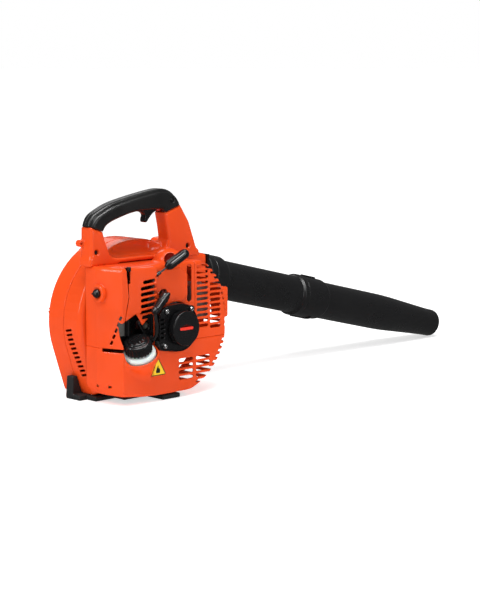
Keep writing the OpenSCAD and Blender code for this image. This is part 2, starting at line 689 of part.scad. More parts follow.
module housing_outline(inset) union() {
    translate([0, crank_z]) circle(r = 41 - inset, $fn = 96);
    polygon([[-49 + inset, 93 + inset], [-45 + inset, 89 + inset], [0, 84 + inset], [0, 166 - inset],
        [-36 + inset, 166 - inset], [-49 + inset, 152 - inset]]);
}
front_y = -104;
starter_bolts = [[-33, 156], [24, 155], [-37, 97]];
module starter_housing() color(black) difference() {
    union() {
        difference() {
            slab(front_y, -side_y) housing_outline(0);
            slab(front_y + wall, -side_y + 1) housing_outline(wall);
        }
        y_rod(0, crank_z, front_y + 1, -91, 5);
        for (at = starter_bolts) y_rod(at[0], at[1], front_y + 1, -side_y, 5);
    }
    for (at = starter_bolts) y_rod(at[0], at[1], front_y - 1, -side_y + 1, 2.4);
    y_rod(0, crank_z, front_y + 3, -90, 2);
    block([-52, -99, 146], [-36, -90, 170]);
}
module starter_cap() color("#2a2a2a") difference() {
    union() {
        y_rod(0, crank_z, front_y - 12, front_y, starter_cap_r);
        y_rod(0, crank_z, front_y - 14, front_y - 12 + eps, starter_cap_r - 2);
    }
    y_rod(0, crank_z, front_y - 11, front_y + 1, starter_cap_r - wall);
}
module starter_reel() color("dimgray") difference() {
    union() {
        y_rod(0, crank_z, -99, -97, 27);
        y_rod(0, crank_z, -93, -91, 27);
        y_rod(0, crank_z, -98, -92, 21);
        for (side = [-1, 1]) y_rod(side * 21, crank_z, -92, -89.5, 3);
    }
    y_rod(0, crank_z, -100, -90, 5.05);
}
module recoil_spring() color(metal) slab(-101.3, -99.3) translate([0, crank_z]) {
    turns = 4;
    polygon(concat(
        [for (a = [0:20:360 * turns]) (8 + a / 100) * [cos(a), sin(a)]],
        [for (a = [360 * turns:-20:0]) (8.8 + a / 100) * [cos(a), sin(a)]]));
}
module reel_screw() color(metal) {
    y_rod(0, crank_z, -91, -89, 6.5);
    y_rod(0, crank_z, -98, -90.9, 2);
}
module pull_frame() translate(rope_exit) rotate([0, 90 - pull_tilt, pull_out]) children();
rope = [[-23.4, -95, 124], [-32, -95, 140], [-45, -93.5, 155], [-51, -91.2, 166], [-51.5, -90.6, 182],
    [-51.5, -90.6, 208],
    rope_exit, rope_exit + 26.8 * pull_way];
module starter_rope() color("black") tube(rope, 1.6);
module rope_guide() color(black) pull_frame() difference() {
    translate([0, 0, 2.5]) cylinder(h = 8, r = 3.2);
    translate([0, 0, -1]) cylinder(h = 13, r = 2);
}
module pull_handle() color(black) pull_frame() difference() {
    union() {
        translate([0, 0, 24]) cylinder(h = 6, r1 = 5, r2 = 8.5);
        translate([0, 0, 30]) cylinder(h = 36, r = 8.5);
        translate([0, 0, 66]) sphere(r = 8.5);
    }
    translate([0, 0, 20]) cylinder(h = 14, r = 2);
}

// ---- base ----

module base_plate() color(black) block([-100, -70, 8.2], [44, -11, plate_top]);
module rear_foot() color(black) {
    block([-134, 8, 0], [-108, 46, case_foot]);
    block([-118, -16, 0], [-60, 8.5, 8]);
    slab(26, 44) polygon([[-136, 5], [-113.3, 5], [-113.3, case_foot], [-123.8, 40], [-133, 40]]);
}
module front_foot() color(black) {
    block([-26, -85, 0], [14, -12, 8]);
    block([-26, -12, 0], [50, 62, 3.1]);
    block([-26, case_y0, 3], [20, 62, case_foot]);
}

// ---- fasteners ----

module screw(x, z, head_y, len, head_r, shank_r) {
    y_rod(x, z, head_y - 3, head_y, head_r);
    y_rod(x, z, head_y - eps, head_y + len, shank_r);
}
module case_screws() color(metal) for (at = pillars)
    mirror([0, 1, 0]) screw(at[0], at[1], -head_y, 26, 4, 2.05);
module housing_screws() color(metal) {
    for (at = starter_bolts) screw(at[0], at[1], front_y, 14, 4, 2.3);
    screw(-123.4, 257.6, post_y0 + 3, 10, 4.2, 2.05);
    screw(83.6, 254, post_y0 + 3, 10, 4.2, 2.05);
    screw(grip_screw[0], grip_screw[1], post_y0 + 2, 22, 4.2, 2.05);
}

translate(row_shift) fan_case_inner();
translate(row_shift) fan_case_outer();
translate(row_shift) intake_grille();
translate(row_shift) outlet_collar();
translate(row_shift) impeller();
translate(row_shift) engine_cover();
translate(row_shift) muffler_guard();
translate(row_shift) lower_cover();
translate(row_shift) hazard_label();
translate(row_shift) air_cleaner_cover();
translate(row_shift) cover_knob();
translate(row_shift) cover_stud();
translate(row_shift) air_cleaner_base();
translate(row_shift) air_filter();
translate(row_shift) choke_lever();
translate(row_shift) grip_right();
translate(row_shift) grip_left();
translate(row_shift) throttle_trigger();
translate(row_shift) trigger_pin();
translate(row_shift) stop_switch();
translate(row_shift) throttle_cable();
translate(row_shift) throttle_valve();
translate(row_shift) carburettor();
translate(row_shift) primer_bulb();
translate(row_shift) insulator_block();
translate(row_shift) engine_cylinder();
translate(row_shift) piston();
translate(row_shift) piston_pin();
translate(row_shift) connecting_rod();
translate(row_shift) crankcase();
translate(row_shift) crank_bearings();
translate(row_shift) crankshaft();
translate(row_shift) flywheel();
translate(row_shift) flywheel_nut();
translate(row_shift) starter_cup();
translate(row_shift) ignition_coil();
translate(row_shift) ignition_lead();
translate(row_shift) plug_boot();
translate(row_shift) spark_plug();
translate(row_shift) muffler();
translate(row_shift) muffler_gasket();
translate(row_shift) fuel_tank();
translate(row_shift) fuel_cap();
translate(row_shift) fuel_line();
translate(row_shift) fuel_filter();
translate(row_shift) starter_housing();
translate(row_shift) starter_cap();
translate(row_shift) starter_reel();
translate(row_shift) recoil_spring();
translate(row_shift) reel_screw();
translate(row_shift) starter_rope();
translate(row_shift) rope_guide();
translate(row_shift) pull_handle();
translate(row_shift) base_plate();
translate(row_shift) rear_foot();
translate(row_shift) front_foot();
translate(row_shift) straight_pipe();
translate(row_shift) nozzle();
translate(row_shift) case_screws();
translate(row_shift) housing_screws();
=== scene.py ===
"""Looks of the leaf blower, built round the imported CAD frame.

Lengths are in millimetres in the engine's own frame. The crank turns about an axis along Y through x = 0,
+X is the way the pipe points, -Y is the engine side and z = 0 is the ground.
place() moves them to the row frame.
"""
import json
import math
import bpy
import numpy as np
import openvdb
from mathutils import Matrix, Vector


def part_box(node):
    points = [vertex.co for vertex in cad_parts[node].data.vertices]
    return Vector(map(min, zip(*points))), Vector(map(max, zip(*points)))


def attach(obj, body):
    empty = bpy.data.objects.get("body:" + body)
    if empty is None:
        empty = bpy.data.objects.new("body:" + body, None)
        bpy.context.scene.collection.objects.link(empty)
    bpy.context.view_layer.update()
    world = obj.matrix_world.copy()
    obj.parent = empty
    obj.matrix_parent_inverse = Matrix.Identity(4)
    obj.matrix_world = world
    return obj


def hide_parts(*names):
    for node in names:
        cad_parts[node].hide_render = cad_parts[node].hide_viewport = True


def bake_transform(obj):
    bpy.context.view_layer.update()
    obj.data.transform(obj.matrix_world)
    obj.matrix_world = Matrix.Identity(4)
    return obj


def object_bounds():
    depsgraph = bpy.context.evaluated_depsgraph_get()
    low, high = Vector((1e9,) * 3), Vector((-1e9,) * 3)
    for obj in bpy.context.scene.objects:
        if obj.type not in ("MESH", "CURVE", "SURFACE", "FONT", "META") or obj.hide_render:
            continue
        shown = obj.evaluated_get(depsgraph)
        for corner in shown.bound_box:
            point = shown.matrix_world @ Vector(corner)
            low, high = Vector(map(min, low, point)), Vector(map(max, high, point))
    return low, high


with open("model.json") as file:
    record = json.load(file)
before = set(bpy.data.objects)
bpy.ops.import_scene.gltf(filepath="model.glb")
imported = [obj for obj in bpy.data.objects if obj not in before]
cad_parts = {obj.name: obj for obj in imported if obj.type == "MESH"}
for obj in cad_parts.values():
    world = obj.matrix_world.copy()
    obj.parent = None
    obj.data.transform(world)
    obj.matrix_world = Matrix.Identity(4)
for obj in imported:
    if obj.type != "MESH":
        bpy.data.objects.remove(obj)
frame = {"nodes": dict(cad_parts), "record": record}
cad_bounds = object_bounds()
nodes = frame["nodes"]

# ---- the engine frame, worked out from the starter's round cap ----

MM = 0.001
CRANK_Z = 125.0
CAP_FRONT = -118.0
cap_low, cap_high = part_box("starter_cap")
ORIGIN = np.array([(cap_low[0] + cap_high[0]) / 2, cap_low[1] - CAP_FRONT * MM,
                   (cap_low[2] + cap_high[2]) / 2 - CRANK_Z * MM])


def place(points):
    """Engine-frame millimetres to row-frame metres."""
    return np.asarray(points, float) * MM + ORIGIN


def place_one(point):
    return tuple(float(v) for v in place(point))


# ---- camera, floor and lights ----

AZIMUTH, ELEVATION, DISTANCE = -44.4, 8.0, 2.8  # degrees, degrees and metres
AIM = (69.1, -176.1, 173.1)
LENS, FAR_CLIP = 98.8, 2000
SKY_LIGHT, SUN_POWER, SUN_SPREAD, SUN_AT = 0.12, 1.7, 40, (-55, 58)
BODY_CENTRE = (-0.2, 0, 0.2)
FLOOR_HALF, FLOOR_DROP, FLOOR_GLOW = 900, 0.0003, 0.6
SOFT_BOXES = [  # name, azimuth, elevation, distance, (width, height) in metres, power
    ("key", -100, 26, 2.2, (0.3, 1.5), 14),
    ("overhead", -30, 76, 1.8, (1.4, 0.25), 22),
    ("strip", 6, 16, 2.4, (0.2, 1.6), 10),
    ("rear_fill", 150, 35, 2.6, (1.5, 1.5), 8),
]


def direction(azimuth, elevation):
    """Unit vector from the object towards a viewer at that azimuth and elevation."""
    a, e = math.radians(azimuth), math.radians(elevation)
    return Vector((math.sin(a) * math.cos(e), -math.cos(a) * math.cos(e), math.sin(e)))


def link(obj):
    bpy.context.scene.collection.objects.link(obj)
    return obj


def make_camera():
    data = bpy.data.cameras.new("camera")
    data.lens = LENS
    data.clip_end = FAR_CLIP
    camera = link(bpy.data.objects.new("camera", data))
    back = direction(AZIMUTH, ELEVATION)
    camera.location = Vector(place_one(AIM)) + back * DISTANCE
    camera.rotation_euler = back.to_track_quat("Z", "Y").to_euler()
    bpy.context.scene.camera = camera


def area_light(name, azimuth, elevation, distance, size, power):
    data = bpy.data.lights.new(name, "AREA")
    data.shape = "RECTANGLE"
    data.size, data.size_y = size
    data.energy = power
    light = link(bpy.data.objects.new(name, data))
    back = direction(azimuth, elevation)
    light.location = Vector(BODY_CENTRE) + back * distance
    light.rotation_euler = back.to_track_quat("Z", "Y").to_euler()


def make_studio():
    """A white surround to look at, and softer light from it, with soft boxes round the object."""
    world = bpy.data.worlds.new("studio")
    bpy.context.scene.world = world
    world.use_nodes = True
    tree = world.node_tree
    light = tree.nodes["Background"]
    light.inputs["Color"].default_value = (1, 1, 1, 1)
    light.inputs["Strength"].default_value = SKY_LIGHT
    seen = tree.nodes.new("ShaderNodeBackground")
    seen.inputs["Color"].default_value = (1, 1, 1, 1)
    path = tree.nodes.new("ShaderNodeLightPath")
    mix = tree.nodes.new("ShaderNodeMixShader")
    tree.links.new(path.outputs["Is Camera Ray"], mix.inputs[0])
    tree.links.new(light.outputs[0], mix.inputs[1])
    tree.links.new(seen.outputs[0], mix.inputs[2])
    tree.links.new(mix.outputs[0], tree.nodes["World Output"].inputs["Surface"])
    sun = bpy.data.lights.new("sun", "SUN")
    sun.energy = SUN_POWER
    sun.angle = math.radians(SUN_SPREAD)
    sky = link(bpy.data.objects.new("sun", sun))
    sky.rotation_euler = direction(*SUN_AT).to_track_quat("Z", "Y").to_euler()
    for box in SOFT_BOXES:
        area_light(*box)
    bpy.context.scene.view_settings.view_transform = "Standard"


# ---- materials ----

class Shader:
    """A node material, with short calls for the nodes used here."""

    def __init__(self, name, color, roughness, **sockets):
        self.material = bpy.data.materials.new(name)
        self.material.use_nodes = True
        self.material.diffuse_color = (*color, 1)
        self.tree = self.material.node_tree
        self.shader = self.tree.nodes["Principled BSDF"]
        self.shader.inputs["Base Color"].default_value = (*color, 1)
        self.shader.inputs["Roughness"].default_value = roughness
        for socket, value in sockets.items():
            self.shader.inputs[socket.replace("_", " ")].default_value = value
        self.place = self.node("ShaderNodeTexCoord").outputs["Object"]

    def node(self, kind, **inputs):
        node = self.tree.nodes.new(kind)
        for socket, value in inputs.items():
            self.feed(value, node.inputs[socket.replace("_", " ")])
        return node

    def feed(self, value, socket):
        if isinstance(value, bpy.types.NodeSocket):
            self.tree.links.new(value, socket)
        else:
            socket.default_value = value

    def noise(self, scale, detail=3.0):
        return self.node("ShaderNodeTexNoise", Vector=self.place, Scale=scale, Detail=detail,
                         Roughness=0.55).outputs["Fac"]

    def ramp(self, fac, *stops):
        """Maps fac through (position, value) or (position, (r, g, b)) stops."""
        node = self.node("ShaderNodeValToRGB", Fac=fac)
        elements = node.color_ramp.elements
        while len(elements) < len(stops):
            elements.new(0.5)
        for element, (position, value) in zip(elements, stops):
            element.position = position
            shade = value if isinstance(value, tuple) else (value, value, value)
            element.color = (*shade, 1)
        return node.outputs["Color"]

    def vary_color(self, low, high, scale):
        self.feed(self.ramp(self.noise(scale), (0.3, low), (0.7, high)), self.shader.inputs["Base Color"])

    def vary_roughness(self, low, high, scale):
        spots = self.ramp(self.noise(scale, 4.0), (0.3, low), (0.72, high))
        self.feed(spots, self.shader.inputs["Roughness"])

    def bump(self, height, depth, strength):
        node = self.node("ShaderNodeBump", Height=height, Distance=depth, Strength=strength)
        self.tree.links.new(node.outputs["Normal"], self.shader.inputs["Normal"])


def shade(color, factor):
    return tuple(min(1.0, c * factor) for c in color)


def moulded(name, color, roughness, grain=2400, depth=0.00003, **sockets):
    """Moulded plastic: faint flow marks in its colour, uneven gloss and a fine grain."""
    s = Shader(name, color, roughness, **sockets)
    s.vary_color(shade(color, 0.93), shade(color, 1.05), 9)
    s.vary_roughness(roughness * 0.8, roughness * 1.35, 34)
    s.bump(s.noise(grain, 2.0), depth, 0.5)
    return s.material


def metal(name, color, roughness, scale=900, depth=0.00006):
    s = Shader(name, color, roughness, Metallic=1.0)
    s.vary_color(shade(color, 0.8), shade(color, 1.08), 60)
    s.vary_roughness(roughness * 0.75, roughness * 1.4, 120)
    s.bump(s.noise(scale, 3.0), depth, 0.6)
    return s.material


def make_materials():
    orange = (0.74, 0.066, 0.009)
    m = {}
    m["orange_plastic"] = moulded("orange_plastic", orange, 0.2, 1800, 0.00002, Specular_IOR_Level=0.4)
    grip = Shader("grip_black", (0.008, 0.008, 0.008), 0.3)
    grip.vary_color((0.006, 0.006, 0.006), (0.011, 0.011, 0.011), 30)
    grip.vary_roughness(0.26, 0.36, 50)
    grip.bump(grip.noise(1500, 3.0), 0.00008, 0.7)
    m["grip_black"] = grip.material
    m["black_plastic"] = moulded("black_plastic", (0.006, 0.006, 0.0065), 0.16, 1500, 0.00003)
    m["pipe_black"] = moulded("pipe_black", (0.006, 0.006, 0.0065), 0.3, 700, 0.00006)
    m["foot_rubber"] = moulded("foot_rubber", (0.012, 0.012, 0.012), 0.6, 900, 0.0001)
    m["red_plastic"] = moulded("red_plastic", (0.75, 0.03, 0.015), 0.25)
    m["tank_white"] = moulded("tank_white", (0.80, 0.79, 0.74), 0.35, 600, 0.00004, Subsurface_Weight=0.25)
    m["bulb_clear"] = moulded("bulb_clear", (0.035, 0.035, 0.03), 0.2)
    m["cast_alloy"] = metal("cast_alloy", (0.62, 0.62, 0.63), 0.42, 500, 0.0002)
    m["steel"] = metal("steel", (0.6, 0.6, 0.6), 0.3)
    m["screw_steel"] = metal("screw_steel", (0.75, 0.75, 0.75), 0.22)
    m["muffler_steel"] = metal("muffler_steel", (0.42, 0.40, 0.38), 0.45)
    m["foam"] = moulded("foam", (0.12, 0.12, 0.11), 0.9, 600, 0.0012)
    m["gasket"] = moulded("gasket", (0.20, 0.18, 0.16), 0.7)
    m["label_yellow"] = moulded("label_yellow", (0.92, 0.62, 0.01), 0.3)
    m["wire_black"] = moulded("wire_black", (0.012, 0.012, 0.012), 0.35, 900, 0.00005)
    m["hose_tint"] = moulded("hose_tint", (0.35, 0.30, 0.10), 0.3)
    rope = Shader("rope_black", (0.02, 0.02, 0.02), 0.7)
    rope.vary_color((0.012, 0.012, 0.012), (0.05, 0.05, 0.05), 700)
    rope.bump(rope.noise(1300, 2.0), 0.0005, 1.0)
    m["rope_black"] = rope.material
    return m


materials = make_materials()


def finish_piece(obj, slot, body, *replaced):
    """Gives a piece its material, its body and the CAD nodes it stands for."""
    if not obj.data.materials:
        obj.data.materials.append(materials[slot])
    if replaced:
        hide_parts(*replaced)
    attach(obj, body)
    return obj


# ---- distance fields: negative inside, in millimetres ----

def join(a, b, r=0.0):
    """Union with a fillet of radius r."""
    if not r:
        return np.minimum(a, b)
    return np.maximum(r, np.minimum(a, b)) - np.hypot(np.maximum(r - a, 0), np.maximum(r - b, 0))


def meet(a, b, r=0.0):
    """Intersection with its edge rounded to radius r."""
    if not r:
        return np.maximum(a, b)
    return np.minimum(-r, np.maximum(a, b)) + np.hypot(np.maximum(r + a, 0), np.maximum(r + b, 0))


def cut(a, b, r=0.0):
    """a without b, with the new edge rounded to radius r."""
    return meet(a, -b, r)


def any_of(fields):
    """Union of many fields, without fillets."""
    whole = fields[0]
    for one in fields[1:]:
        whole = np.minimum(whole, one)
    return whole


def between(v, low, high):
    return np.abs(v - (low + high) / 2) - (high - low) / 2


def softened(points, passes=2):
    """A closed outline with its corners cut round, keeping its straight stretches."""
    p = np.asarray(points, float)
    for _ in range(passes):
        after = np.roll(p, -1, axis=0)
        p = np.stack([0.78 * p + 0.22 * after, 0.22 * p + 0.78 * after], axis=1).reshape(-1, 2)
    return p


def outline(points, u, v):
    """Exact signed distance to a closed outline in the plane of u and v."""
    u, v = np.broadcast_arrays(u, v)
    best = np.full(u.shape, 1e12)
    inside = np.zeros(u.shape, bool)
    points = np.asarray(points, float)
    for (ax, ay), (bx, by) in zip(points, np.roll(points, 1, axis=0)):
        ex, ey = bx - ax, by - ay
        wx, wy = u - ax, v - ay
        t = np.clip((wx * ex + wy * ey) / (ex * ex + ey * ey), 0, 1)
        best = np.minimum(best, (wx - t * ex) ** 2 + (wy - t * ey) ** 2)
        if ey:
            inside ^= ((ay > v) != (by > v)) & (u < ex * wy / ey + ax)
    return np.where(inside, -1, 1) * np.sqrt(best)


def disc(u, v, cu, cv, r):
    return np.hypot(u - cu, v - cv) - r


def box_field(u, v, w, low, high, r):
    """Box with rounded edges."""
    q = [np.abs(c - (a + b) / 2) - (b - a) / 2 + r for c, a, b in zip((u, v, w), low, high)]
    outside = np.sqrt(sum(np.maximum(c, 0) ** 2 for c in q))
    return outside + np.minimum(np.maximum(np.maximum(q[0], q[1]), q[2]), 0) - r


def slot_field(u, v, cu, cv, length, high, angle=0.0):
    """A round-ended slot of overall length in the plane of u and v."""
    c, s = math.cos(math.radians(angle)), math.sin(math.radians(angle))
    along = (u - cu) * c + (v - cv) * s
    across = (v - cv) * c - (u - cu) * s
    return np.hypot(np.maximum(np.abs(along) - (length - high) / 2, 0), across) - high / 2


def capsule(x, y, z, p, q, r, r_end=None):
    """A round-ended rod from p to q, which may taper."""
    p, q = np.asarray(p, float), np.asarray(q, float)
    d = q - p
    wx, wy, wz = x - p[0], y - p[1], z - p[2]
    t = np.clip((wx * d[0] + wy * d[1] + wz * d[2]) / (d @ d), 0, 1)
    radius = r + ((r if r_end is None else r_end) - r) * t
    return np.sqrt((wx - t * d[0]) ** 2 + (wy - t * d[1]) ** 2 + (wz - t * d[2]) ** 2) - radius


def along_axis(x, y, z, p, way):
    """Distance along an axis through p, and distance from it."""
    p, way = np.asarray(p, float), np.asarray(way, float) / np.linalg.norm(way)
    wx, wy, wz = x - p[0], y - p[1], z - p[2]
    s = wx * way[0] + wy * way[1] + wz * way[2]
    return s, np.sqrt(np.maximum(wx * wx + wy * wy + wz * wz - s * s, 0))


def ellipsoid(x, y, z, centre, half):
    """Distance from the centre, with 1 on the surface."""
    return np.sqrt(sum(((c - m) / h) ** 2 for c, m, h in zip((x, y, z), centre, half)))


def rod(x, y, z, p, way, low, high, r):
    """A cylinder of radius r about an axis through p, from low to high along it."""
    s, radial = along_axis(x, y, z, p, way)
    return meet(radial - r, between(s, low, high))


# ---- meshes from fields ----

def from_field(name, field, low, high, cell):
    """Meshes field(x, y, z) = 0 inside the box low..high, and settles each vertex on the true surface."""
    low = np.asarray(low, float) - 2 * cell
    axes = [np.arange(a, b + 2 * cell, cell) for a, b in zip(low, high)]
    x, y, z = axes[0][:, None, None], axes[1][None, :, None], axes[2][None, None, :]
    values = np.broadcast_to(field(x, y, z), [len(a) for a in axes])
    grid = openvdb.FloatGrid(3.0)
    grid.copyFromArray(np.ascontiguousarray(np.clip(values / cell, -3, 3), dtype=np.float32))
    points, quads = grid.convertToQuads(0.0)
    points = points.astype(float) * cell + low
    h = 0.05
    for _ in range(3):
        px, py, pz = points.T
        here = field(px, py, pz)
        slope = np.stack([field(px + h, py, pz), field(px, py + h, pz), field(px, py, pz + h)], axis=1)
        slope = (slope - here[:, None]) / h
        step = here[:, None] * slope / np.maximum((slope ** 2).sum(axis=1), 0.25)[:, None]
        points = points - np.clip(step, -0.6 * cell, 0.6 * cell)
    a, b, c = (points[quads[:, i]] for i in (0, 1, 2))
    if np.einsum("ij,ij->i", a, np.cross(b, c)).sum() < 0:
        quads = quads[:, ::-1]
    return make_mesh(name, points, quads)


def make_mesh(name, points, faces):
    mesh = bpy.data.meshes.new(name)
    mesh.from_pydata(place(points).tolist(), [], [list(map(int, f)) for f in faces])
    mesh.validate()
    mesh.polygons.foreach_set("use_smooth", [True] * len(mesh.polygons))
    mesh.update()
    return link(bpy.data.objects.new(name, mesh))


def lathe(name, profile, origin, way, sides=96):
    """Turns a closed profile of (radius, distance along the axis) about an axis."""
    way = np.asarray(way, float) / np.linalg.norm(way)
    side = np.cross(way, (0.3, 0.9, 0.2))
    side /= np.linalg.norm(side)
    up = np.cross(way, side)
    angles = np.arange(sides) * 2 * math.pi / sides
    profile = np.asarray(profile, float)
    spin = np.cos(angles)[:, None] * side + np.sin(angles)[:, None] * up
    points = origin + profile[:, 1][None, :, None] * way + profile[:, 0][None, :, None] * spin[:, None, :]
    n = len(profile)
    faces = []
    for i in range(sides):
        here, there = i * n, (i + 1) % sides * n
        for k in range(n):
            after = (k + 1) % n
            faces.append((here + k, here + after, there + after, there + k))
    return make_mesh(name, points.reshape(-1, 3), faces)


def rounded_profile(corners, r=1.0, steps=4):
    """A closed profile of (radius, distance), its corners rounded by up to r or their own third value."""
    out = []
    n = len(corners)
    for i, corner in enumerate(corners):
        p = np.array(corner[:2], float)
        before = np.array(corners[i - 1][:2], float) - p
        after = np.array(corners[(i + 1) % n][:2], float) - p
        own = corner[2] if len(corner) > 2 else r
        reach = min(own, 0.45 * np.linalg.norm(before), 0.45 * np.linalg.norm(after))
        a = p + before / np.linalg.norm(before) * reach
        b = p + after / np.linalg.norm(after) * reach
        for k in range(steps + 1):
            t = k / steps
            out.append((1 - t) ** 2 * a + 2 * t * (1 - t) * p + t * t * b)
    return out


def curve_points(points, steps):
    """A Catmull-Rom curve through given points."""
    p = [np.asarray(q, float) for q in points]
    out = []
    for i in range(len(p) - 1):
        a, b, c, d = p[max(i - 1, 0)], p[i], p[i + 1], p[min(i + 2, len(p) - 1)]
        for k in range(steps):
            t = k / steps
            out.append(b + t * (c - a) / 2 + t * t * (a - 2.5 * b + 2 * c - d / 2)
                       + t ** 3 * (1.5 * b - a / 2 - 1.5 * c + d / 2))
    return np.array(out + [p[-1]])


def tube(name, points, r, sides=14, steps=8):
    """A round tube along given points, with closed ends."""
    path = curve_points(points, steps)
    way = np.gradient(path, axis=0)
    way /= np.linalg.norm(way, axis=1)[:, None]
    side = np.cross(way[0], (0.31, 0.87, 0.38))
    rings = []
    for point, w in zip(path, way):
        side = side - (side @ w) * w
        side /= np.linalg.norm(side)
        up = np.cross(w, side)
        angles = np.arange(sides) * 2 * math.pi / sides
        rings.append(point + r * (np.cos(angles)[:, None] * side + np.sin(angles)[:, None] * up))
    faces = [tuple(range(sides))[::-1], tuple((len(rings) - 1) * sides + k for k in range(sides))]
    for i in range(len(rings) - 1):
        for k in range(sides):
            a, b = i * sides + k, i * sides + (k + 1) % sides
            faces.append((a, b, b + sides, a + sides))
    return make_mesh(name, np.concatenate(rings), faces)


# ---- the moulded cases and covers ----

WALL = 2.5
SCROLL_R0, SCROLL_GROWTH, FLAT_ANGLE = 107.0, 12.0, 76
REAR_CENTRE, REAR_R, CASE_FOOT = (-7.0, 131.0), 139.0, 9.3
CASE_NEAR, CASE_MID, CASE_FAR = -10.0, 35.0, 80.0
MOUTH_X, MOUTH_Z, MOUTH_HALF = 150.0, 192.9, 39.0
INTAKE_R = 62.0
SIDE_Y, DRUM_R, DRUM_X, DRUM_Z = -88.0, 124.0, 3.0, 129.0
REAR_X, COVER_TOP, SEAM_Z, GUARD_X = -136.0, 235.0, 98.0, 46.5
FILLER = np.array([-86.0, -90.0, 101.0])
FILLER_WAY = np.array([-0.4006, -0.2588, 0.879])
NECK_R, CAP_SPACE_R = 30.5, 27
ROPE_EXIT = np.array([-46.8, -91.5, 217.0])
PULL_WAY = np.array([0.84405, -0.16407, 0.51054])
KNOB_Y, KNOB_Z = -46, 191
STARTER_HOLE_R = 43
SLOT_BACK = -80.0  # how deep the slots in the covers' faces are cut
STEP_X, STEP_Y = -46.8, -95.5


def spiral_point(angle):
    """A point of the growing front and underside, at an angle below the crank's level."""
    r, t = SCROLL_R0 + SCROLL_GROWTH * angle / FLAT_ANGLE, math.radians(angle)
    return r * math.cos(t), CRANK_Z - r * math.sin(t)


def rear_point(angle):
    """A point of the round rear and top."""
    t = math.radians(angle)
    return REAR_CENTRE[0] + REAR_R * math.cos(t), REAR_CENTRE[1] + REAR_R * math.sin(t)


def scroll_points():
    """The scroll's outline: it grows round the front and underside, and has a skirt and a round rear."""
    spiral = [spiral_point(a) for a in range(0, 73, 6)]
    skirt = [(24, CASE_FOOT), (-113, CASE_FOOT), (-123.5, 40), (-134.5, 74)]
    rear = [rear_point(a) for a in range(200, 73, -6)]
    mouth = [(MOUTH_X, MOUTH_Z + MOUTH_HALF), (MOUTH_X, MOUTH_Z - MOUTH_HALF)]
    return spiral + skirt + rear + mouth + [(SCROLL_R0, CRANK_Z + 20)]


SCROLL = scroll_points()
# The handle's posts and the deck between them, as (x, z)
REAR_POST = [(-134, 300), (-108, 291), (-104, 277), (-90.6, 246), (-78, 236.3), (-136, 236.3), (-135, 262)]
FRONT_POST = [(30, 315), (67.6, 327), (87.6, 297), (100.7, 262.5), (110, 236.3), (8, 236.3),
              (26, 243), (36, 255), (38.5, 267), (35.6, 288)]
DECK = [(-136, 236.3), (110, 236.3), (110, 244), (8, 244), (-20, 246), (-78, 244), (-136, 244)]
POST_Y0, POST_Y1 = -30.0, 0.0
POST_HOLES = [(-123.4, 257.6), (83.6, 254)]
HEAD_Y, PILLAR_R, SCREW_HOLE_R = 48.0, 6.5, 4.6
LUG = (-137, 272)
VENTS, VENT_TILT = 11, math.radians(-12)
PILLARS = [(98.9, 98.5), (68.6, 43.2), (-104, 18), (-137.7, 149.4), (-69, 247.5)]


def fan_case_inner(x, y, z):
    """The near half of the fan case, with the handle's posts and deck, the scoop and the vents."""
    scroll = outline(SCROLL, x, z)
    body = meet(scroll, CASE_NEAR - y, 9.0)
    posts = join(join(outline(REAR_POST, x, z), outline(FRONT_POST, x, z), 6.0), outline(DECK, x, z), 9.0)
    body = join(body, meet(posts, between(y, POST_Y0, POST_Y1), 5.0), 6.0)
    scoop = capsule(x, y, z, (-66, -15, 262), (14, -15, 260), 19.0)
    body = cut(body, scoop, 5.0)
    hollow = meet(scroll + WALL, CASE_NEAR + WALL - y, 7.0)
    hollow = cut(hollow, scoop - WALL)
    body = cut(body, hollow)
    body = meet(body, y - (CASE_MID - 0.2), 0.8)
    lug = meet(disc(x, z, *LUG, 6.0), between(y, -9, 3), 1.5)
    body = cut(join(body, lug, 3.0), disc(x, z, LUG[0] - 1.5, LUG[1], 2.3), 0.8)
    holes = join(*[meet(disc(x, z, u, v, SCREW_HOLE_R), y - (POST_Y0 + 6)) for u, v in POST_HOLES])
    body = cut(body, holes, 0.9)
    vents = []
    for i in range(VENTS):
        dx, dy, dz = x + 134, y - (22 - 1.5 * i), z - (122 - 7.8 * i)
        v = dy * math.cos(VENT_TILT) + dz * math.sin(VENT_TILT)
        w = dz * math.cos(VENT_TILT) - dy * math.sin(VENT_TILT)
        vents.append(box_field(dx, v, w, (-15, -8, -1.8), (15, 8, 1.8), 0.8))
    body = cut(body, any_of(vents), 0.6)
    return cut(body, meet(disc(x, z, 0, CRANK_Z, 12), y), 0.5)


def fan_case_outer(x, y, z):
    """The far half of the fan case, with the screw pillars and the rim round the intake."""
    scroll = outline(SCROLL, x, z)
    body = meet(scroll, y - CASE_FAR, 8.0)
    shoulder = box_field(x, y, z, (84, 40, 215), (130, 78, 262), 10.0)
    body = join(body, shoulder, 8.0)
    body = cut(body, meet(scroll + WALL, y - (CASE_FAR - WALL), 6.0))
    body = meet(body, CASE_MID + 0.2 - y, 0.8)
    for u, v in PILLARS:
        pillar = np.maximum(meet(disc(x, z, u, v, PILLAR_R), y - (CASE_FAR - 1)), scroll + 1)
        body = join(body, pillar)
        body = cut(body, meet(disc(x, z, u, v, SCREW_HOLE_R), HEAD_Y - y), 0.8)
    body = meet(body, CASE_MID + 0.2 - y, 0.8)
    ring = np.abs(disc(x, z, 0, CRANK_Z, INTAKE_R + 8)) - 1.6
    body = join(body, meet(ring, between(y, CASE_FAR - 1, CASE_FAR + 1.5), 1.0), 1.5)
    return cut(body, disc(x, z, 0, CRANK_Z, INTAKE_R), 1.0)


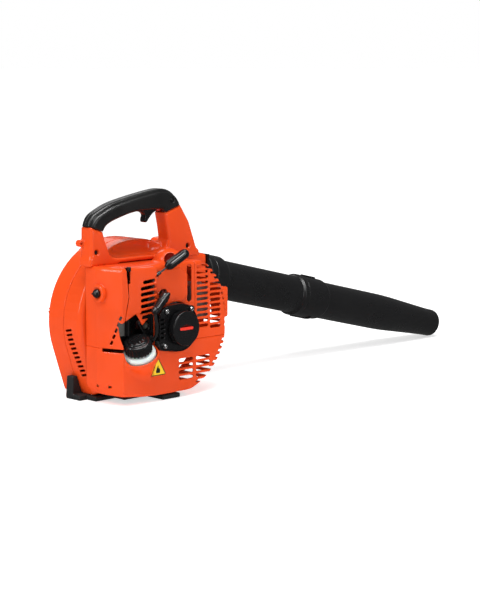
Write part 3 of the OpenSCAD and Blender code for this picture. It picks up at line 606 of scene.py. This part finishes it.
SIDE_POLY = [(REAR_X, 34), (-124, 18), (-60, 10), (0, 8), (0, COVER_TOP + 20), (REAR_X, COVER_TOP + 20)]
SIDE_PLAN = [(REAR_X, 60), (REAR_X, -39), (-118, SIDE_Y), (118, SIDE_Y), (130, -76), (130, 60)]
RAISED_PLAN = [(-106, -88), (STEP_X, STEP_Y), (STEP_X, -70), (-106, -70)]


def side_solid(x, y, z):
    """The engine side's outer form, open towards the fan case."""
    front = join(disc(x, z, DRUM_X, DRUM_Z, DRUM_R), outline(SIDE_POLY, x, z), 10.0)
    front = meet(front, z - COVER_TOP, 6.0)
    solid = meet(front, outline(SIDE_PLAN, x, y), 7.0)
    raised = meet(outline(RAISED_PLAN, x, y), between(z, 156, COVER_TOP - 2), 3.0)
    return join(solid, raised, 2.0)


def side_shell(x, y, z):
    """The wall of that form. Each cover on the engine side is a region of it."""
    solid = side_solid(x, y, z)
    return meet(np.maximum(solid, -(solid + WALL)), y - (CASE_NEAR - 0.5), 0.6)


def starter_opening(x, z):
    return disc(x, z, 0, CRANK_Z, STARTER_HOLE_R)


def filler_space(x, y, z, r):
    return rod(x, y, z, FILLER, FILLER_WAY, -48, 48, r)


def slots(x, z, places):
    """One field for many slots of (x, z, length, height, angle)."""
    return any_of([slot_field(x, z, *one) for one in places])


COVER_REGION = [(-107.2, 260), (-102.6, 186), (-115.4, 123), (-104, 110), (-56, 150), (-48, 150),
                (-48, SEAM_Z + 0.4), (GUARD_X - 0.3, SEAM_Z + 0.4), (GUARD_X - 0.3, 260)]
PANEL_SLOTS = [(-62.5, 149 + 10 * i, 24 if i in (0, 6) else 34, 6, 6) for i in range(7)]
RAISED_PANEL = [(-43, 164), (29, 164), (29, 226), (-43, 226)]
MOUND, MOUND_HALF = (16.0, -54.0, 232.0), (27, 27, 24)
PARK, PARK_WAY, PARK_R = (14, -62, 238), (-0.69, -0.71, 0.12), 10.5
PLUG_HOLE, PLUG_WAY, PLUG_HOLE_R = (-15, -67, 190.2), (-0.51, -0.83, -0.23), 8


def engine_cover(x, y, z):
    """The cover over the engine, with its raised panel and the mound behind the pull handle."""
    body = side_shell(x, y, z)
    panel = outline(softened(RAISED_PANEL, 1), x, z)
    body = join(body, meet(panel, between(y, SIDE_Y - 1.4, SIDE_Y + 1), 0.9), 1.2)
    mound = ellipsoid(x, y, z, MOUND, MOUND_HALF)
    body = join(body, meet((mound - 1) * MOUND_HALF[2], COVER_TOP - 6 - z), 5.0)
    body = cut(body, rod(x, y, z, PARK, PARK_WAY, -8, 40, PARK_R), 1.5)
    body = meet(body, outline(COVER_REGION, x, z), 0.6)
    body = cut(body, starter_opening(x, z), 1.0)
    body = cut(body, filler_space(x, y, z, CAP_SPACE_R), 1.5)
    holes = np.minimum(slots(x, z, PANEL_SLOTS), slot_field(x, z, 33.5, 197.5, 65, 11, 90))
    body = cut(body, np.maximum(holes, y - SLOT_BACK), 0.9)
    rope_hole = rod(x, y, z, ROPE_EXIT, PULL_WAY, -8, 6, 3.2)
    plug_hole = rod(x, y, z, PLUG_HOLE, PLUG_WAY, -5, 45, PLUG_HOLE_R)
    body = cut(cut(body, rope_hole, 0.5), plug_hole, 1.0)
    choke_slot = box_field(x, y, z, (-106.8, -90, 208), (-100.4, -72, 236), 1.0)
    return cut(body, choke_slot, 0.6)


SLOT_PITCH, TOOTH_GAP, RIM_DEPTH = 9.4, 5.0, 9
GUARD_SLOTS = [(64.5, 120 + SLOT_PITCH * i, 27, 5.2) for i in range(12)]
EDGE_SLOTS = [(95, 116 + SLOT_PITCH * i, 25, 5.2) for i in range(9)]


def drum_slots(x, y, z, first, count, start_x):
    """Slots through the drum's rounded front edge, so that the ribs between them are teeth."""
    rows = []
    for i in range(count):
        middle = first + i * SLOT_PITCH
        rows.append(meet(between(z, middle - TOOTH_GAP / 2, middle + TOOTH_GAP / 2), start_x - x))
    wall = np.maximum(-disc(x, z, DRUM_X, DRUM_Z, DRUM_R - RIM_DEPTH), between(y, SIDE_Y - 5, -26))
    return np.maximum(any_of(rows), wall)


def muffler_guard(x, y, z):
    """The slotted guard in front of the muffler, with a bump on its front edge."""
    body = cut(side_shell(x, y, z), drum_slots(x, y, z, 116, 13, 60), 0.7)
    bump = box_field(x, y, z, (108, -84, 128), (131, -46, 182), 4.0)
    body = join(body, meet(bump, -(side_solid(x, y, z) + WALL)), 2.0)
    body = meet(body, GUARD_X + 0.3 - x, 0.6)
    body = meet(body, SEAM_Z + 0.4 - z, 0.6)
    body = cut(body, starter_opening(x, z), 1.0)
    holes = slots(x, z, GUARD_SLOTS + EDGE_SLOTS)
    body = cut(body, np.maximum(holes, y - SLOT_BACK), 0.8)
    cable_notch = box_field(x, y, z, (58, -30, 224), (82, 0, 240), 2.0)
    return cut(body, cable_notch, 0.6)


LOWER_SLOTS = [(x0, 34 + 10.2 * i, 33, 6) for i in range(4) for x0 in (25.5, 65.5)]


COLLAR_R, COLLAR_TOP = 33.0, -17


def filler_collar(x, y, z):
    """A cone round the filler that swells out of the cover and ends at a rim."""
    s, radial = along_axis(x, y, z, FILLER, FILLER_WAY)
    return meet(radial - (COLLAR_R + 0.55 * np.clip(s + 24, -60, 0)), between(s, -75, COLLAR_TOP), 2.0)


def lower_cover(x, y, z):
    """The lower cover, with the filler's collar, a slit under the cleaner cover, and a grille."""
    solid = join(side_solid(x, y, z), filler_collar(x, y, z), 8.0)
    body = meet(np.maximum(solid, -(solid + WALL)), y - (CASE_NEAR - 0.5), 0.6)
    body = meet(body, z - SEAM_Z - 0.3, 0.8)
    body = cut(body, starter_opening(x, z), 1.0)
    body = cut(body, rod(x, y, z, FILLER, FILLER_WAY, -21, 60, NECK_R), 1.2)
    slit = box_field(x, y, z, (-150, -100, 92.5), (-100, -50, 100), 1.0)
    body = cut(body, slit, 0.8)
    body = cut(body, np.maximum(slots(x, z, LOWER_SLOTS), y - SLOT_BACK), 0.8)
    body = cut(body, drum_slots(x, y, z, 24, 8, 48), 0.7)
    holes = np.minimum(meet(disc(x, z, -127, 33, 2.4), y + 60), meet(disc(y, z, -39, 33, 2.4), x + 120))
    body = cut(body, holes, 0.8)
    open_foot = box_field(x, y, z, (-150, -100, -20), (46, 0, 11.3), 1.0)
    return cut(body, open_foot, 0.5)


CLEANER_REGION = [(REAR_X - 10, SEAM_Z + 0.5), (-110.5, SEAM_Z + 0.5), (-116.8, 123), (-104, 186),
                  (-108.6, 240), (REAR_X - 10, 240)]


def air_cleaner_cover(x, y, z):
    """The rear cover, with a dished relief round its knob and a row of slanted vents on the corner."""
    body = side_shell(x, y, z)
    body = meet(body, outline(CLEANER_REGION, x, z), 0.7)
    body = meet(body, y - (CASE_NEAR - 1), 0.6)
    knob_base = (-134, KNOB_Y, KNOB_Z)
    dish = ellipsoid(x, y, z, (-144, KNOB_Y, KNOB_Z), (10, 13, 13))
    body = join(body, meet(rod(x, y, z, knob_base, (1, 0, 0), -4, 4, 15), -(side_solid(x, y, z) + 5)))
    body = cut(body, (dish - 1) * 9, 1.0)
    body = cut(body, filler_space(x, y, z, CAP_SPACE_R), 1.5)
    body = cut(body, rod(x, y, z, knob_base, (1, 0, 0), -20, 20, 4.5), 0.4)
    vents = []
    turn = np.array(Matrix.Rotation(math.radians(20), 3, "Z") @ Matrix.Rotation(math.radians(30), 3, "X"))
    for i in range(5):
        d = (x + 119, y + 84 - 4.6 * i, z - 151 + 10.5 * i)
        u, v, w = (turn[0, k] * d[0] + turn[1, k] * d[1] + turn[2, k] * d[2] for k in range(3))
        vents.append(box_field(u, v, w, (-7, -2.2, -4), (7, 2.2, 4), 1.4))
    return cut(body, any_of(vents), 0.6)


def build_shells():
    """The orange shells, each with its field, mesh box and cell size."""
    case = ((-152, -32, 5), (152, 37, 330))
    shells = [
        ("fan_case_near", fan_case_inner, case, 1.6, "root", "fan_case_inner"),
        ("fan_case_far", fan_case_outer, ((-152, 34, 5), (152, 83, 278)), 1.7, "root", "fan_case_outer"),
        ("engine_shroud", engine_cover, ((-118, -98, 97), (48, -8, 260)), 1.2, "root", "engine_cover"),
        ("muffler_shield", muffler_guard, ((45, -90, 97), (132, -8, 236)), 1.2, "root", "muffler_guard"),
        ("lower_shroud", lower_cover, ((-138, -122, 0), (131, -8, 100)), 1.3, "root", "lower_cover"),
        ("cleaner_cap", air_cleaner_cover, ((-138, -90, 97), (-101, -8, 236)), 1.0, "cleaner_cover",
         "air_cleaner_cover"),
    ]
    for name, field, (low, high), cell, body, node in shells:
        finish_piece(from_field(name, field, low, high, cell), "orange_plastic", body, node)


# ---- handle ----

GRIP = [(-140, 288), (-133, 311), (-127, 319), (-118, 325), (-89, 338), (-45, 347.5), (-4, 354.5),
        (19, 357.5), (36, 356.5), (50, 351), (59, 343), (72, 318), (32, 304), (29, 320), (20, 322.5),
        (-27, 321.6), (-50, 318), (-84, 308.5), (-97, 303), (-104, 297), (-113, 280)]
GRIP_Y, GRIP_HALF, GRIP_GAP = -15.0, 15.0, 0.24
GRIP_SCREW = (47.6, 336)
TRIGGER = [(20, 336), (25, 331), (20, 319.5), (10, 315), (2, 307), (-4, 299.5), (-9.5, 300.5), (-10, 306),
           (-7, 313), (-12, 318), (-20, 319.5), (-20, 323), (-4, 328), (14, 335)]
TRIGGER_PIVOT = (20, 333)


def grip(x, y, z):
    """The whole grip: a pad with a wider side that starts lower, which leaves a ridge along its top."""
    across = np.abs(y - GRIP_Y)
    pad = outline(softened(GRIP), x, z)
    side = np.maximum(pad, outline(softened(GRIP), x - 3, z + 5.5))
    body = join(meet(pad, across - 11.5, 6.0), meet(side, across - GRIP_HALF, 5.0), 1.0)
    rear_end = ((x + 134) * -9 + (z - 300.5) * -26) / math.hypot(9, 26)
    front_end = ((x - 30) * 12 + (z - 315.5) * -37.6) / math.hypot(12, 37.6)
    body = meet(meet(body, rear_end, 0.9), front_end, 0.9)
    body = np.maximum(body, -(body + WALL + 1))
    slot = box_field(x, y, z, (-26, GRIP_Y - 7.5, 310), (36, GRIP_Y + 7.5, 334), 1.5)
    body = cut(body, slot, 0.8)
    return cut(body, meet(disc(x, z, *GRIP_SCREW, 4.8), y - (POST_Y0 + 2.2)), 0.8)


def grip_near(x, y, z):
    return meet(grip(x, y, z), y - (GRIP_Y - GRIP_GAP / 2), 0.4)


def grip_far(x, y, z):
    return meet(grip(x, y, z), GRIP_Y + GRIP_GAP / 2 - y, 0.4)


def trigger(x, y, z):
    blade = meet(outline(softened(TRIGGER), x, z), np.abs(y - GRIP_Y) - 6.5, 2.2)
    return cut(blade, disc(x, z, *TRIGGER_PIVOT, 1.55))


def switch(x, y, z):
    body = outline([(25.4, 318), (31, 319.5), (31, 330), (25.4, 330)], x, z)
    return meet(body, np.abs(y - GRIP_Y) - 5, 1.0)


# ---- starter ----

HOUSING = [(-49, 93), (-45, 89), (0, 84), (20, 90), (20, 160), (0, 166), (-36, 166), (-49, 152)]
STARTER_BOLTS = [(-33, 156), (24, 155), (-37, 97)]
WING = [(-106, 104), (-104, 118), (-62, 154), (-47, 156), (-47, 88), (-70, 92), (-92, 98)]


HOUSING_FRONT = -104.0  # the starter housing's near face


def starter_housing(x, y, z):
    """The hollow starter housing, with its ring, screw bosses and grooves."""
    flat = join(disc(x, z, 0, CRANK_Z, 41), outline(softened(HOUSING, 1), x, z), 3.0)
    body = meet(flat, between(y, HOUSING_FRONT, SIDE_Y), 3.0)
    ring = meet(np.abs(disc(x, z, 0, CRANK_Z, 34.2)) - 1.6, between(y, -105.6, -100), 0.8)
    body = join(body, ring, 1.2)
    for u, v in STARTER_BOLTS:
        body = join(body, meet(disc(x, z, u, v, 6.3), between(y, -105.2, -89), 1.2), 1.5)
    body = cut(body, meet(flat + WALL, y - HOUSING_FRONT - WALL), 0)
    body = meet(body, y + 88.05, 0.5)
    for u, v in STARTER_BOLTS:
        body = join(body, meet(disc(x, z, u, v, 5), between(y, -103, -89)))
    grooves = slots(x, z, [(-41.5, 112 + 7.5 * i, 11, 2.6) for i in range(5)])
    return cut(body, np.maximum(grooves, y + 95), 0.5)


def plate_and_shade_liner(x, y, z):
    """A dark plate beside the starter, which is black plastic and also stands in for the shade inside the
    open corner below the engine cover, and a liner behind it, a black sheet of painted shade that closes the
    opening above the fuel cap.
    """
    # The plate is partly a black part and partly painted shade for the dark inside seen through the open
    # corner.
    plate = meet(outline(softened(WING, 1), x, z), between(y, -83.5, -81.5), 0.8)
    rib = meet(np.abs(outline(softened(WING, 1), x, z) + 2) - 0.8, between(y, -86, -82), 0.6)
    body = join(plate, rib, 1.0)
    body = cut(body, filler_space(x, y, z, 26), 0.5)
    # Painted shade: the liner and its side wall are a black sheet that closes the opening above the fuel cap,
    # where only the dark inside would show.
    shade_liner = box_field(x, y, z, (-114, -64.5, 99.5), (-48, -62.5, 156), 0.8)
    side = box_field(x, y, z, (-50, -84, 99.5), (-48, -62.5, 154), 0.8)
    body = join(body, join(shade_liner, side))
    return cut(body, disc(x, z, -62, 133, 7.6), 0.5)


def plug_boot(x, y, z):
    """The spark plug's boot: a tapered body with three beads and a flat along its top."""
    p, q = np.array([-35, -102, 182.2]), np.array([-63, -108, 160])
    body = capsule(x, y, z, p, q, 8.0, 6.3)
    s, radial = along_axis(x, y, z, p, q - p)
    for at, r in ((7, 8.7), (13, 8.2), (32, 7.2)):
        body = join(body, meet(radial - r, np.abs(s - at) - 1.3, 0.7), 0.8)
    flat = capsule(x, y, z, p + (2, -6, 4), q + (3, -4, 5), 3.4)
    return join(body, flat, 1.5)


# ---- pull handle and rope ----

def own_frame(x, y, z, origin, way, side):
    """Coordinates along side, across it, and along way, from origin."""
    way = np.asarray(way, float) / np.linalg.norm(way)
    side = np.asarray(side, float) - np.dot(side, way) * way
    side /= np.linalg.norm(side)
    across = np.cross(way, side)
    d = (x - origin[0], y - origin[1], z - origin[2])
    return tuple(sum(axis[i] * d[i] for i in range(3)) for axis in (side, across, way))


def pull_handle(x, y, z):
    """The fluted handle, which narrows to a neck where the rope goes in."""
    u, v, s = own_frame(x, y, z, ROPE_EXIT, PULL_WAY, (0, 0, 1))
    radial = np.hypot(u, v)
    fade = np.clip((s - 30) / 5, 0, 1) * np.clip((68 - s) / 5, 0, 1)
    flute = 0.55 * np.clip(np.cos(7 * np.arctan2(v, u)), -0.6, 1) * fade
    body = radial - (4.8 + 3.6 * np.clip((s - 24) / 7, 0, 1)) + flute
    ball = np.sqrt(u * u + v * v + np.maximum(s - 66, 0) ** 2) - 8.4 + flute
    body = meet(np.maximum(body, ball), 24 - s, 1.2)
    return cut(body, meet(radial - 1.9, s - 34), 0.3)


def make_rope():
    """The starter rope, from the reel to the handle."""
    rope = [(-23.4, -95, 124), (-32, -95, 140), (-45, -93.5, 155), (-51, -91.2, 166), (-51.5, -90.6, 182),
            (-51.5, -90.6, 208)] + [tuple(ROPE_EXIT + s * PULL_WAY) for s in (0, 13, 20, 27)]
    obj = tube("starter_cord", rope, 1.6, 12, 12)
    obj.data.materials.append(materials["rope_black"])
    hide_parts("starter_rope")
    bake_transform(obj)


# ---- fuel tank and cap ----

def fuel_tank(x, y, z):
    """The hollow tank, with its filler neck."""
    s, radial = along_axis(x, y, z, FILLER, FILLER_WAY)
    body = box_field(x, y, z, (-112, -82, 21), (2, -14, 84), 8.0)
    body = join(body, meet(radial - 28, between(s, -25, -10), 5.0), 3.0)
    body = join(body, meet(radial - 19, between(s, -40, 2), 1.0), 2.0)
    bore = meet(radial - 16.5, -30 - s)
    return cut(np.maximum(body, -(body + 2)), bore, 0.5)


def fuel_cap(x, y, z):
    """The ribbed cap, with three bars on its top."""
    u, v, s = own_frame(x, y, z, FILLER, FILLER_WAY, (1, 0, 0))
    radial, angle = np.hypot(u, v), np.arctan2(v, u)
    ribs = 1.1 * np.clip(2.2 * np.cos(22 * angle), -1, 1) * np.clip((9 - s) / 3, 0, 1)
    body = meet(radial - 23 - ribs * 0.8, between(s, -9, 11), 3.0)
    body = join(body, meet(radial - 15.5, between(s, 5, 14), 2.0), 2.0)
    for offset in (-7, 0, 7):
        bar = meet(meet(np.abs(u - offset) - 1.5, np.abs(v) - 9, 1.0), between(s, 10, 15.2), 0.7)
        body = join(body, bar, 0.6)
    return cut(body, meet(radial - 19.6, s - 3), 0.5)


# ---- small parts ----

def knob(x, y, z):
    """The cleaner cover's domed knob, with a bar to turn it by."""
    radial = np.hypot(y - KNOB_Y, z - KNOB_Z)
    body = meet(radial - 7.5, between(x, -141, -136.3), 1.6)
    dome = np.sqrt((x + 138.2) ** 2 + radial ** 2) - 7.2
    grip_bar = box_field(x, y, z, (-146.4, -50.5, 189.9), (-137, -41.5, 192.1), 0.9)
    body = join(join(body, dome, 1.0), grip_bar, 0.8)
    return join(body, meet(radial - 4.2, between(x, -137, -124), 0.6), 0.5)


def choke(x, y, z):
    arm = capsule(x, y, z, (-103.7, -62, 214), (-103.7, -84, 230), 3.0, 2.6)
    tab = box_field(x, y, z, (-106, -92.5, 229), (-101.2, -84, 236.5), 1.4)
    pivot = meet(disc(y, z, -62, 214, 3), between(x, -105.5, -93), 0.5)
    return join(join(meet(arm, between(x, -105.6, -101.8), 0.8), tab, 1.0), pivot, 0.5)


def rear_foot(x, y, z):
    body = box_field(x, y, z, (-134, 8, 0), (-108, 46, CASE_FOOT), 2.0)
    body = join(body, box_field(x, y, z, (-118, -16, 0), (-60, 8.5, 8), 2.0), 1.0)
    strip = outline([(-136, 3), (-113.3, 3), (-113.3, CASE_FOOT), (-123.8, 40), (-133, 40)], x, z)
    return join(body, meet(strip, between(y, 26, 44), 2.0), 2.0)


def front_foot(x, y, z):
    body = box_field(x, y, z, (-26, -85, 0), (14, -11.5, 8), 2.0)
    body = join(body, box_field(x, y, z, (-26, -14, 0), (50, 62, 3.1), 1.2), 1.5)
    return join(body, box_field(x, y, z, (-26, CASE_NEAR, 1), (20, 62, CASE_FOOT), 2.0), 1.5)


def base_plate(x, y, z):
    return box_field(x, y, z, (-100, -70, 8.2), (44, -11, 11), 1.2)


def screw(x, y, z, at, head, r):
    """A cross-recess screw head of radius r that faces the engine side, with its top at y = head - 1.2."""
    u, v = x - at[0], z - at[1]
    radial = np.hypot(u, v)
    shank = meet(radial - 2.0, between(y, head, head + 12))
    dome = np.maximum(np.sqrt(radial ** 2 + (y - head - 7) ** 2) - 8.2, radial - r)
    body = join(meet(dome, y - (head + 2.2), 0.4), shank)
    upright = np.maximum(np.abs(u) - 0.55, np.abs(v) - 2.6)
    level = np.maximum(np.abs(v) - 0.55, np.abs(u) - 2.6)
    return cut(body, np.maximum(np.minimum(upright, level), y - (head + 0.6)), 0.2)


def starter_screws(x, y, z):
    return any_of([screw(x, y, z, at, -105.4, 4.2) for at in STARTER_BOLTS])


def handle_screws(x, y, z):
    heads = ((POST_HOLES[0], POST_Y0 + 4), (POST_HOLES[1], POST_Y0 + 4), (GRIP_SCREW, POST_Y0 + 1.2))
    return any_of([screw(x, y, z, at, head, 4.0) for at, head in heads])


def build_screws():
    """The starter's screws are plated and those of the handle are black."""
    sets = [("starter_bolts", starter_screws, STARTER_BOLTS, (-107, -91), "screw_steel"),
            ("handle_screws", handle_screws, POST_HOLES + [GRIP_SCREW], (-30, -12), "black_plastic")]
    for name, field, places, (y0, y1), slot in sets:
        pieces = []
        for u, v in places:
            pieces.append(from_field(name, field, (u - 6, y0, v - 6), (u + 6, y1, v + 6), 0.5))
        whole = pieces[0]
        with bpy.context.temp_override(active_object=whole, selected_editable_objects=pieces):
            bpy.ops.object.join()
        finish_piece(whole, slot, "root", "housing_screws")


def build_small_parts():
    black, grip_slot, rubber = "black_plastic", "grip_black", "foot_rubber"
    grip_box = ((-137, -31, 288), (70, 1, 359))
    near_box = (grip_box[0], (70, -14, 359))
    far_box = ((-137, -16, 288), grip_box[1])
    parts = [
        ("grip_half_near", grip_near, *near_box, 1.1, grip_slot, "root", "grip_right"),
        ("grip_half_far", grip_far, *far_box, 1.1, grip_slot, "root", "grip_left"),
        ("trigger_lever", trigger, (-22, -23, 297), (27, -7, 338), 0.8, black, "trigger",
         "throttle_trigger"),
        ("switch_slider", switch, (24, -21, 317), (32, -9, 331), 0.7, "red_plastic", "switch",
         "stop_switch"),
        ("recoil_housing", starter_housing, (-51, -107, 82), (43, -87, 168), 0.9, black, "root",
         "starter_housing"),
        # Black plate and liner beside the starter, partly painted shade for the dark inside of the housing.
        ("engine_baffle", plate_and_shade_liner, (-116, -88, 86), (-45, -60, 158), 0.9, black, "root"),
        ("spark_boot", plug_boot, (-72, -118, 150), (-24, -92, 194), 0.9, black, "root", "plug_boot"),
        ("starter_grip", pull_handle, (-32, -115, 222), (28, -88, 268), 0.7, black, "handle", "pull_handle"),
        ("fuel_tank_shell", fuel_tank, (-114, -116, 19), (4, -12, 112), 1.4, "tank_white", "root",
         "fuel_tank"),
        ("tank_cap", fuel_cap, (-122, -124, 82), (-60, -60, 128), 0.8, black, "cap", "fuel_cap"),
        ("cleaner_knob", knob, (-148, -55, 182), (-122, -37, 200), 0.6, black, "knob", "cover_knob"),
        ("choke_tab", choke, (-109, -95, 209), (-91, -57, 240), 0.7, black, "choke", "choke_lever"),
        ("foot_rear", rear_foot, (-138, -18, -1), (-58, 48, 42), 1.2, rubber, "root", "rear_foot"),
        ("foot_front", front_foot, (-28, -87, -1), (52, 64, 11), 1.2, rubber, "root", "front_foot"),
        ("closing_plate", base_plate, (-102, -72, 7), (46, -9, 12), 1.2, "pipe_black", "root", "base_plate"),
    ]
    for name, field, low, high, cell, slot, body, *node in parts:
        finish_piece(from_field(name, field, low, high, cell), slot, body, *node)
    make_rope()
    cable = [(27, -15, 340), (36, -15, 332), (46, -15, 326.5), (57, -15, 319), (66, -15, 300),
             (72, -15, 268), (70, -16, 242), (66, -20, 231), (40, -22, 228), (-40, -22, 228),
             (-66, -22, 214), (-72.5, -23.5, 187)]
    lead = [(-63, -107, 158), (-61, -107, 146), (-56, -104, 134), (-53.5, -100, 120), (-52.5, -93, 110.5),
            (-51.5, -84, 112), (-51.5, -78, 114)]
    hose = [(-20, -21, 72), (-20, -12.6, 72), (-40, -12.6, 96), (-66, -16, 130), (-72, -24, 143),
            (-72, -34, 143)]
    finish_piece(tube("gas_cable", cable, 2), "wire_black", "root", "throttle_cable")
    finish_piece(tube("spark_lead", lead, 3), "wire_black", "root", "ignition_lead")
    finish_piece(tube("fuel_hose", hose, 2), "hose_tint", "root", "fuel_line")


# ---- turned parts ----

PIPE_START = np.array([181.0, 35.0, 185.5])
PIPE_TILT = math.radians(13.5)
PIPE_WAY = np.array([math.cos(PIPE_TILT), 0, -math.sin(PIPE_TILT)])
JOINT_S, PIPE_R, TIP_R, NOZZLE_END = 252.0, 36.0, 28.0, 676.0
PIPE_SIDES = 128


def bayonet_hook(x, y, z):
    """The hooked ribs on two sides of the nozzle's collar."""
    u, v, s = own_frame(x, y, z, PIPE_START, PIPE_WAY, (0, 0, 1))
    radial = np.hypot(u, v)
    ring = between(radial, PIPE_R + 2.9, PIPE_R + 6.2)
    across = v * np.sign(u + 1e-9)
    stem = box_field(across, 0 * v, s - JOINT_S, (3, -9, 1), (8, 9, 40), 2.0)
    bar = box_field(across, 0 * v, s - JOINT_S, (-16, -9, 34), (8, 9, 40), 2.0)
    return meet(join(stem, bar, 2.5), ring, 1.0)


def build_turned_parts():
    """The starter's cap, the pipe and the nozzle, each from a profile of (radius, distance, rounding)."""
    cap = rounded_profile([(0.2, -116.6, 0), (22, -117.1, 2), (25.5, -117.9, 1.5), (30, -117.6, 3),
                           (30, -104.1, 0.3), (27.5, -104.1, 0.3), (27.5, -115.2, 1), (0.2, -114.4, 0)])
    disc_cap = lathe("starter_disc", cap, (0, 0, CRANK_Z), (0, 1, 0))
    finish_piece(disc_cap, "black_plastic", "root", "starter_cap")
    straight = rounded_profile([
        (PIPE_R + 2, -16, 0.5), (PIPE_R + 5, -16, 1.5), (PIPE_R + 5, -4, 1), (PIPE_R + 4.2, -3, 1),
        (PIPE_R + 4.2, 0, 1), (PIPE_R + 5, 1, 1), (PIPE_R + 5, 28, 4), (PIPE_R, 35, 5),
        (PIPE_R, JOINT_S - 15, 2), (PIPE_R + 4.5, JOINT_S - 12, 1.5), (PIPE_R + 4.5, JOINT_S - 1, 1.2),
        (PIPE_R, JOINT_S - 1, 0.5), (PIPE_R, JOINT_S + 20, 0.8), (PIPE_R - WALL, JOINT_S + 20, 0.8),
        (PIPE_R - WALL, 20, 0.5), (PIPE_R + 2, 20, 0.5)], 1.0, 5)
    pipe = lathe("blower_pipe", straight, PIPE_START, PIPE_WAY, PIPE_SIDES)
    finish_piece(pipe, "pipe_black", "pipe", "straight_pipe")
    taper = rounded_profile([
        (PIPE_R + 0.3, JOINT_S, 0.6), (PIPE_R + 3.6, JOINT_S, 1.2), (PIPE_R + 3.6, JOINT_S + 57, 3),
        (PIPE_R, JOINT_S + 62, 4), (PIPE_R, JOINT_S + 258, 30), (TIP_R + 0.4, NOZZLE_END - 26, 8),
        (TIP_R, NOZZLE_END - 2, 1.5), (TIP_R - 0.6, NOZZLE_END, 1), (TIP_R - 2, NOZZLE_END, 0.5),
        (TIP_R - 2, NOZZLE_END - 24, 2), (PIPE_R - WALL, JOINT_S + 256, 20),
        (PIPE_R - WALL, JOINT_S + 21, 0.5), (PIPE_R + 0.3, JOINT_S + 21, 0.5)], 1.0, 6)
    tip = lathe("blower_nozzle", taper, PIPE_START, PIPE_WAY, PIPE_SIDES)
    finish_piece(tip, "pipe_black", "nozzle", "nozzle")
    ribs = from_field("bayonet_ribs", bayonet_hook, (418, -10, 80), (480, 80, 180), 0.9)
    finish_piece(ribs, "pipe_black", "nozzle")


# ---- label on the cover, and the plain mark on the starter ----

def sticker(name, field, flat, lift, cell, low, high):
    """A thin sheet, cut to a flat outline field in the plane of x and z, that lies on a moulded surface."""
    def body(x, y, z):
        surface = field(x, y, z)
        return meet(meet(surface - lift, -(surface + 0.3), 0), flat(x, z), 0.1)
    return from_field(name, body, low, high, cell)


LABEL = [(-54.5, 47.5), (-25.5, 47.5), (-40, 72.5)]
FLAME = [(-44, 49.5), (-36, 49.5), (-35.4, 54), (-37.4, 58), (-38.2, 55.5), (-39.6, 63), (-43, 57.5),
         (-44.8, 53.5)]
PRINT_LIFT = 0.42


def label_edge(x, z):
    return outline(LABEL, x, z) - 2.5


def label_rim(x, z):
    return np.maximum(label_edge(x, z), -(label_edge(x, z) + 2.0))


def flame_edge(x, z):
    return outline(FLAME, x, z) - 0.3


def mark_bar(x, y, z):
    return meet(slot_field(x, z, 0, CRANK_Z, 30, 5), between(y, -118, -116.6), 0.3)


def build_marks():
    """A yellow warning triangle with a plain flame, and a plain bar on the starter's disc."""
    low, high = (-58, -112, 43), (-18, -84, 78)
    border = sticker("label_border", lower_cover, label_rim, PRINT_LIFT, 0.6, low, high)
    face = sticker("label_face", lower_cover, label_edge, 0.3, 0.6, low, high)
    flame = sticker("label_flame", lower_cover, flame_edge, PRINT_LIFT, 0.5, low, high)
    finish_piece(face, "label_yellow", "root", "hazard_label")
    for piece in (border, flame):
        finish_piece(piece, "wire_black", "root", "hazard_label")
    bar = from_field("starter_mark", mark_bar, (-17, -119, 120), (17, -116, 130), 0.5)
    finish_piece(bar, "red_plastic", "root")


def make_floor():
    """A white floor that glows a little, so that it stays white under the soft shadows."""
    mesh = bpy.data.meshes.new("floor")
    corners = [(a * FLOOR_HALF, b * FLOOR_HALF, 0) for a, b in ((-1, -1), (1, -1), (1, 1), (-1, 1))]
    mesh.from_pydata(corners, [], [(0, 1, 2, 3)])
    mesh.materials.append(Shader("floor", (0.8, 0.8, 0.8), 0.9, Specular_IOR_Level=0.0,
                                 Emission_Color=(1, 1, 1, 1), Emission_Strength=FLOOR_GLOW).material)
    floor = link(bpy.data.objects.new("floor", mesh))
    floor.visible_glossy = False
    floor.location.z = cad_bounds[0][2] - FLOOR_DROP


def paint_cad_nodes():
    """CAD nodes take their slot's material, and a fine bevel that leaves their own mesh alone."""
    for part in frame["record"]["subparts"]:
        node = nodes[part["node"]]
        node.data.materials.clear()
        node.data.materials.append(materials[part["material_slot"]])
        bevel = node.modifiers.new("edges", "BEVEL")
        bevel.width = 0.0005
        bevel.segments = 2
        bevel.limit_method = "ANGLE"
        bevel.angle_limit = math.radians(40)
        bevel.harden_normals = True


make_camera()
make_studio()
make_floor()
build_shells()
build_small_parts()
build_turned_parts()
build_screws()
build_marks()
paint_cad_nodes()
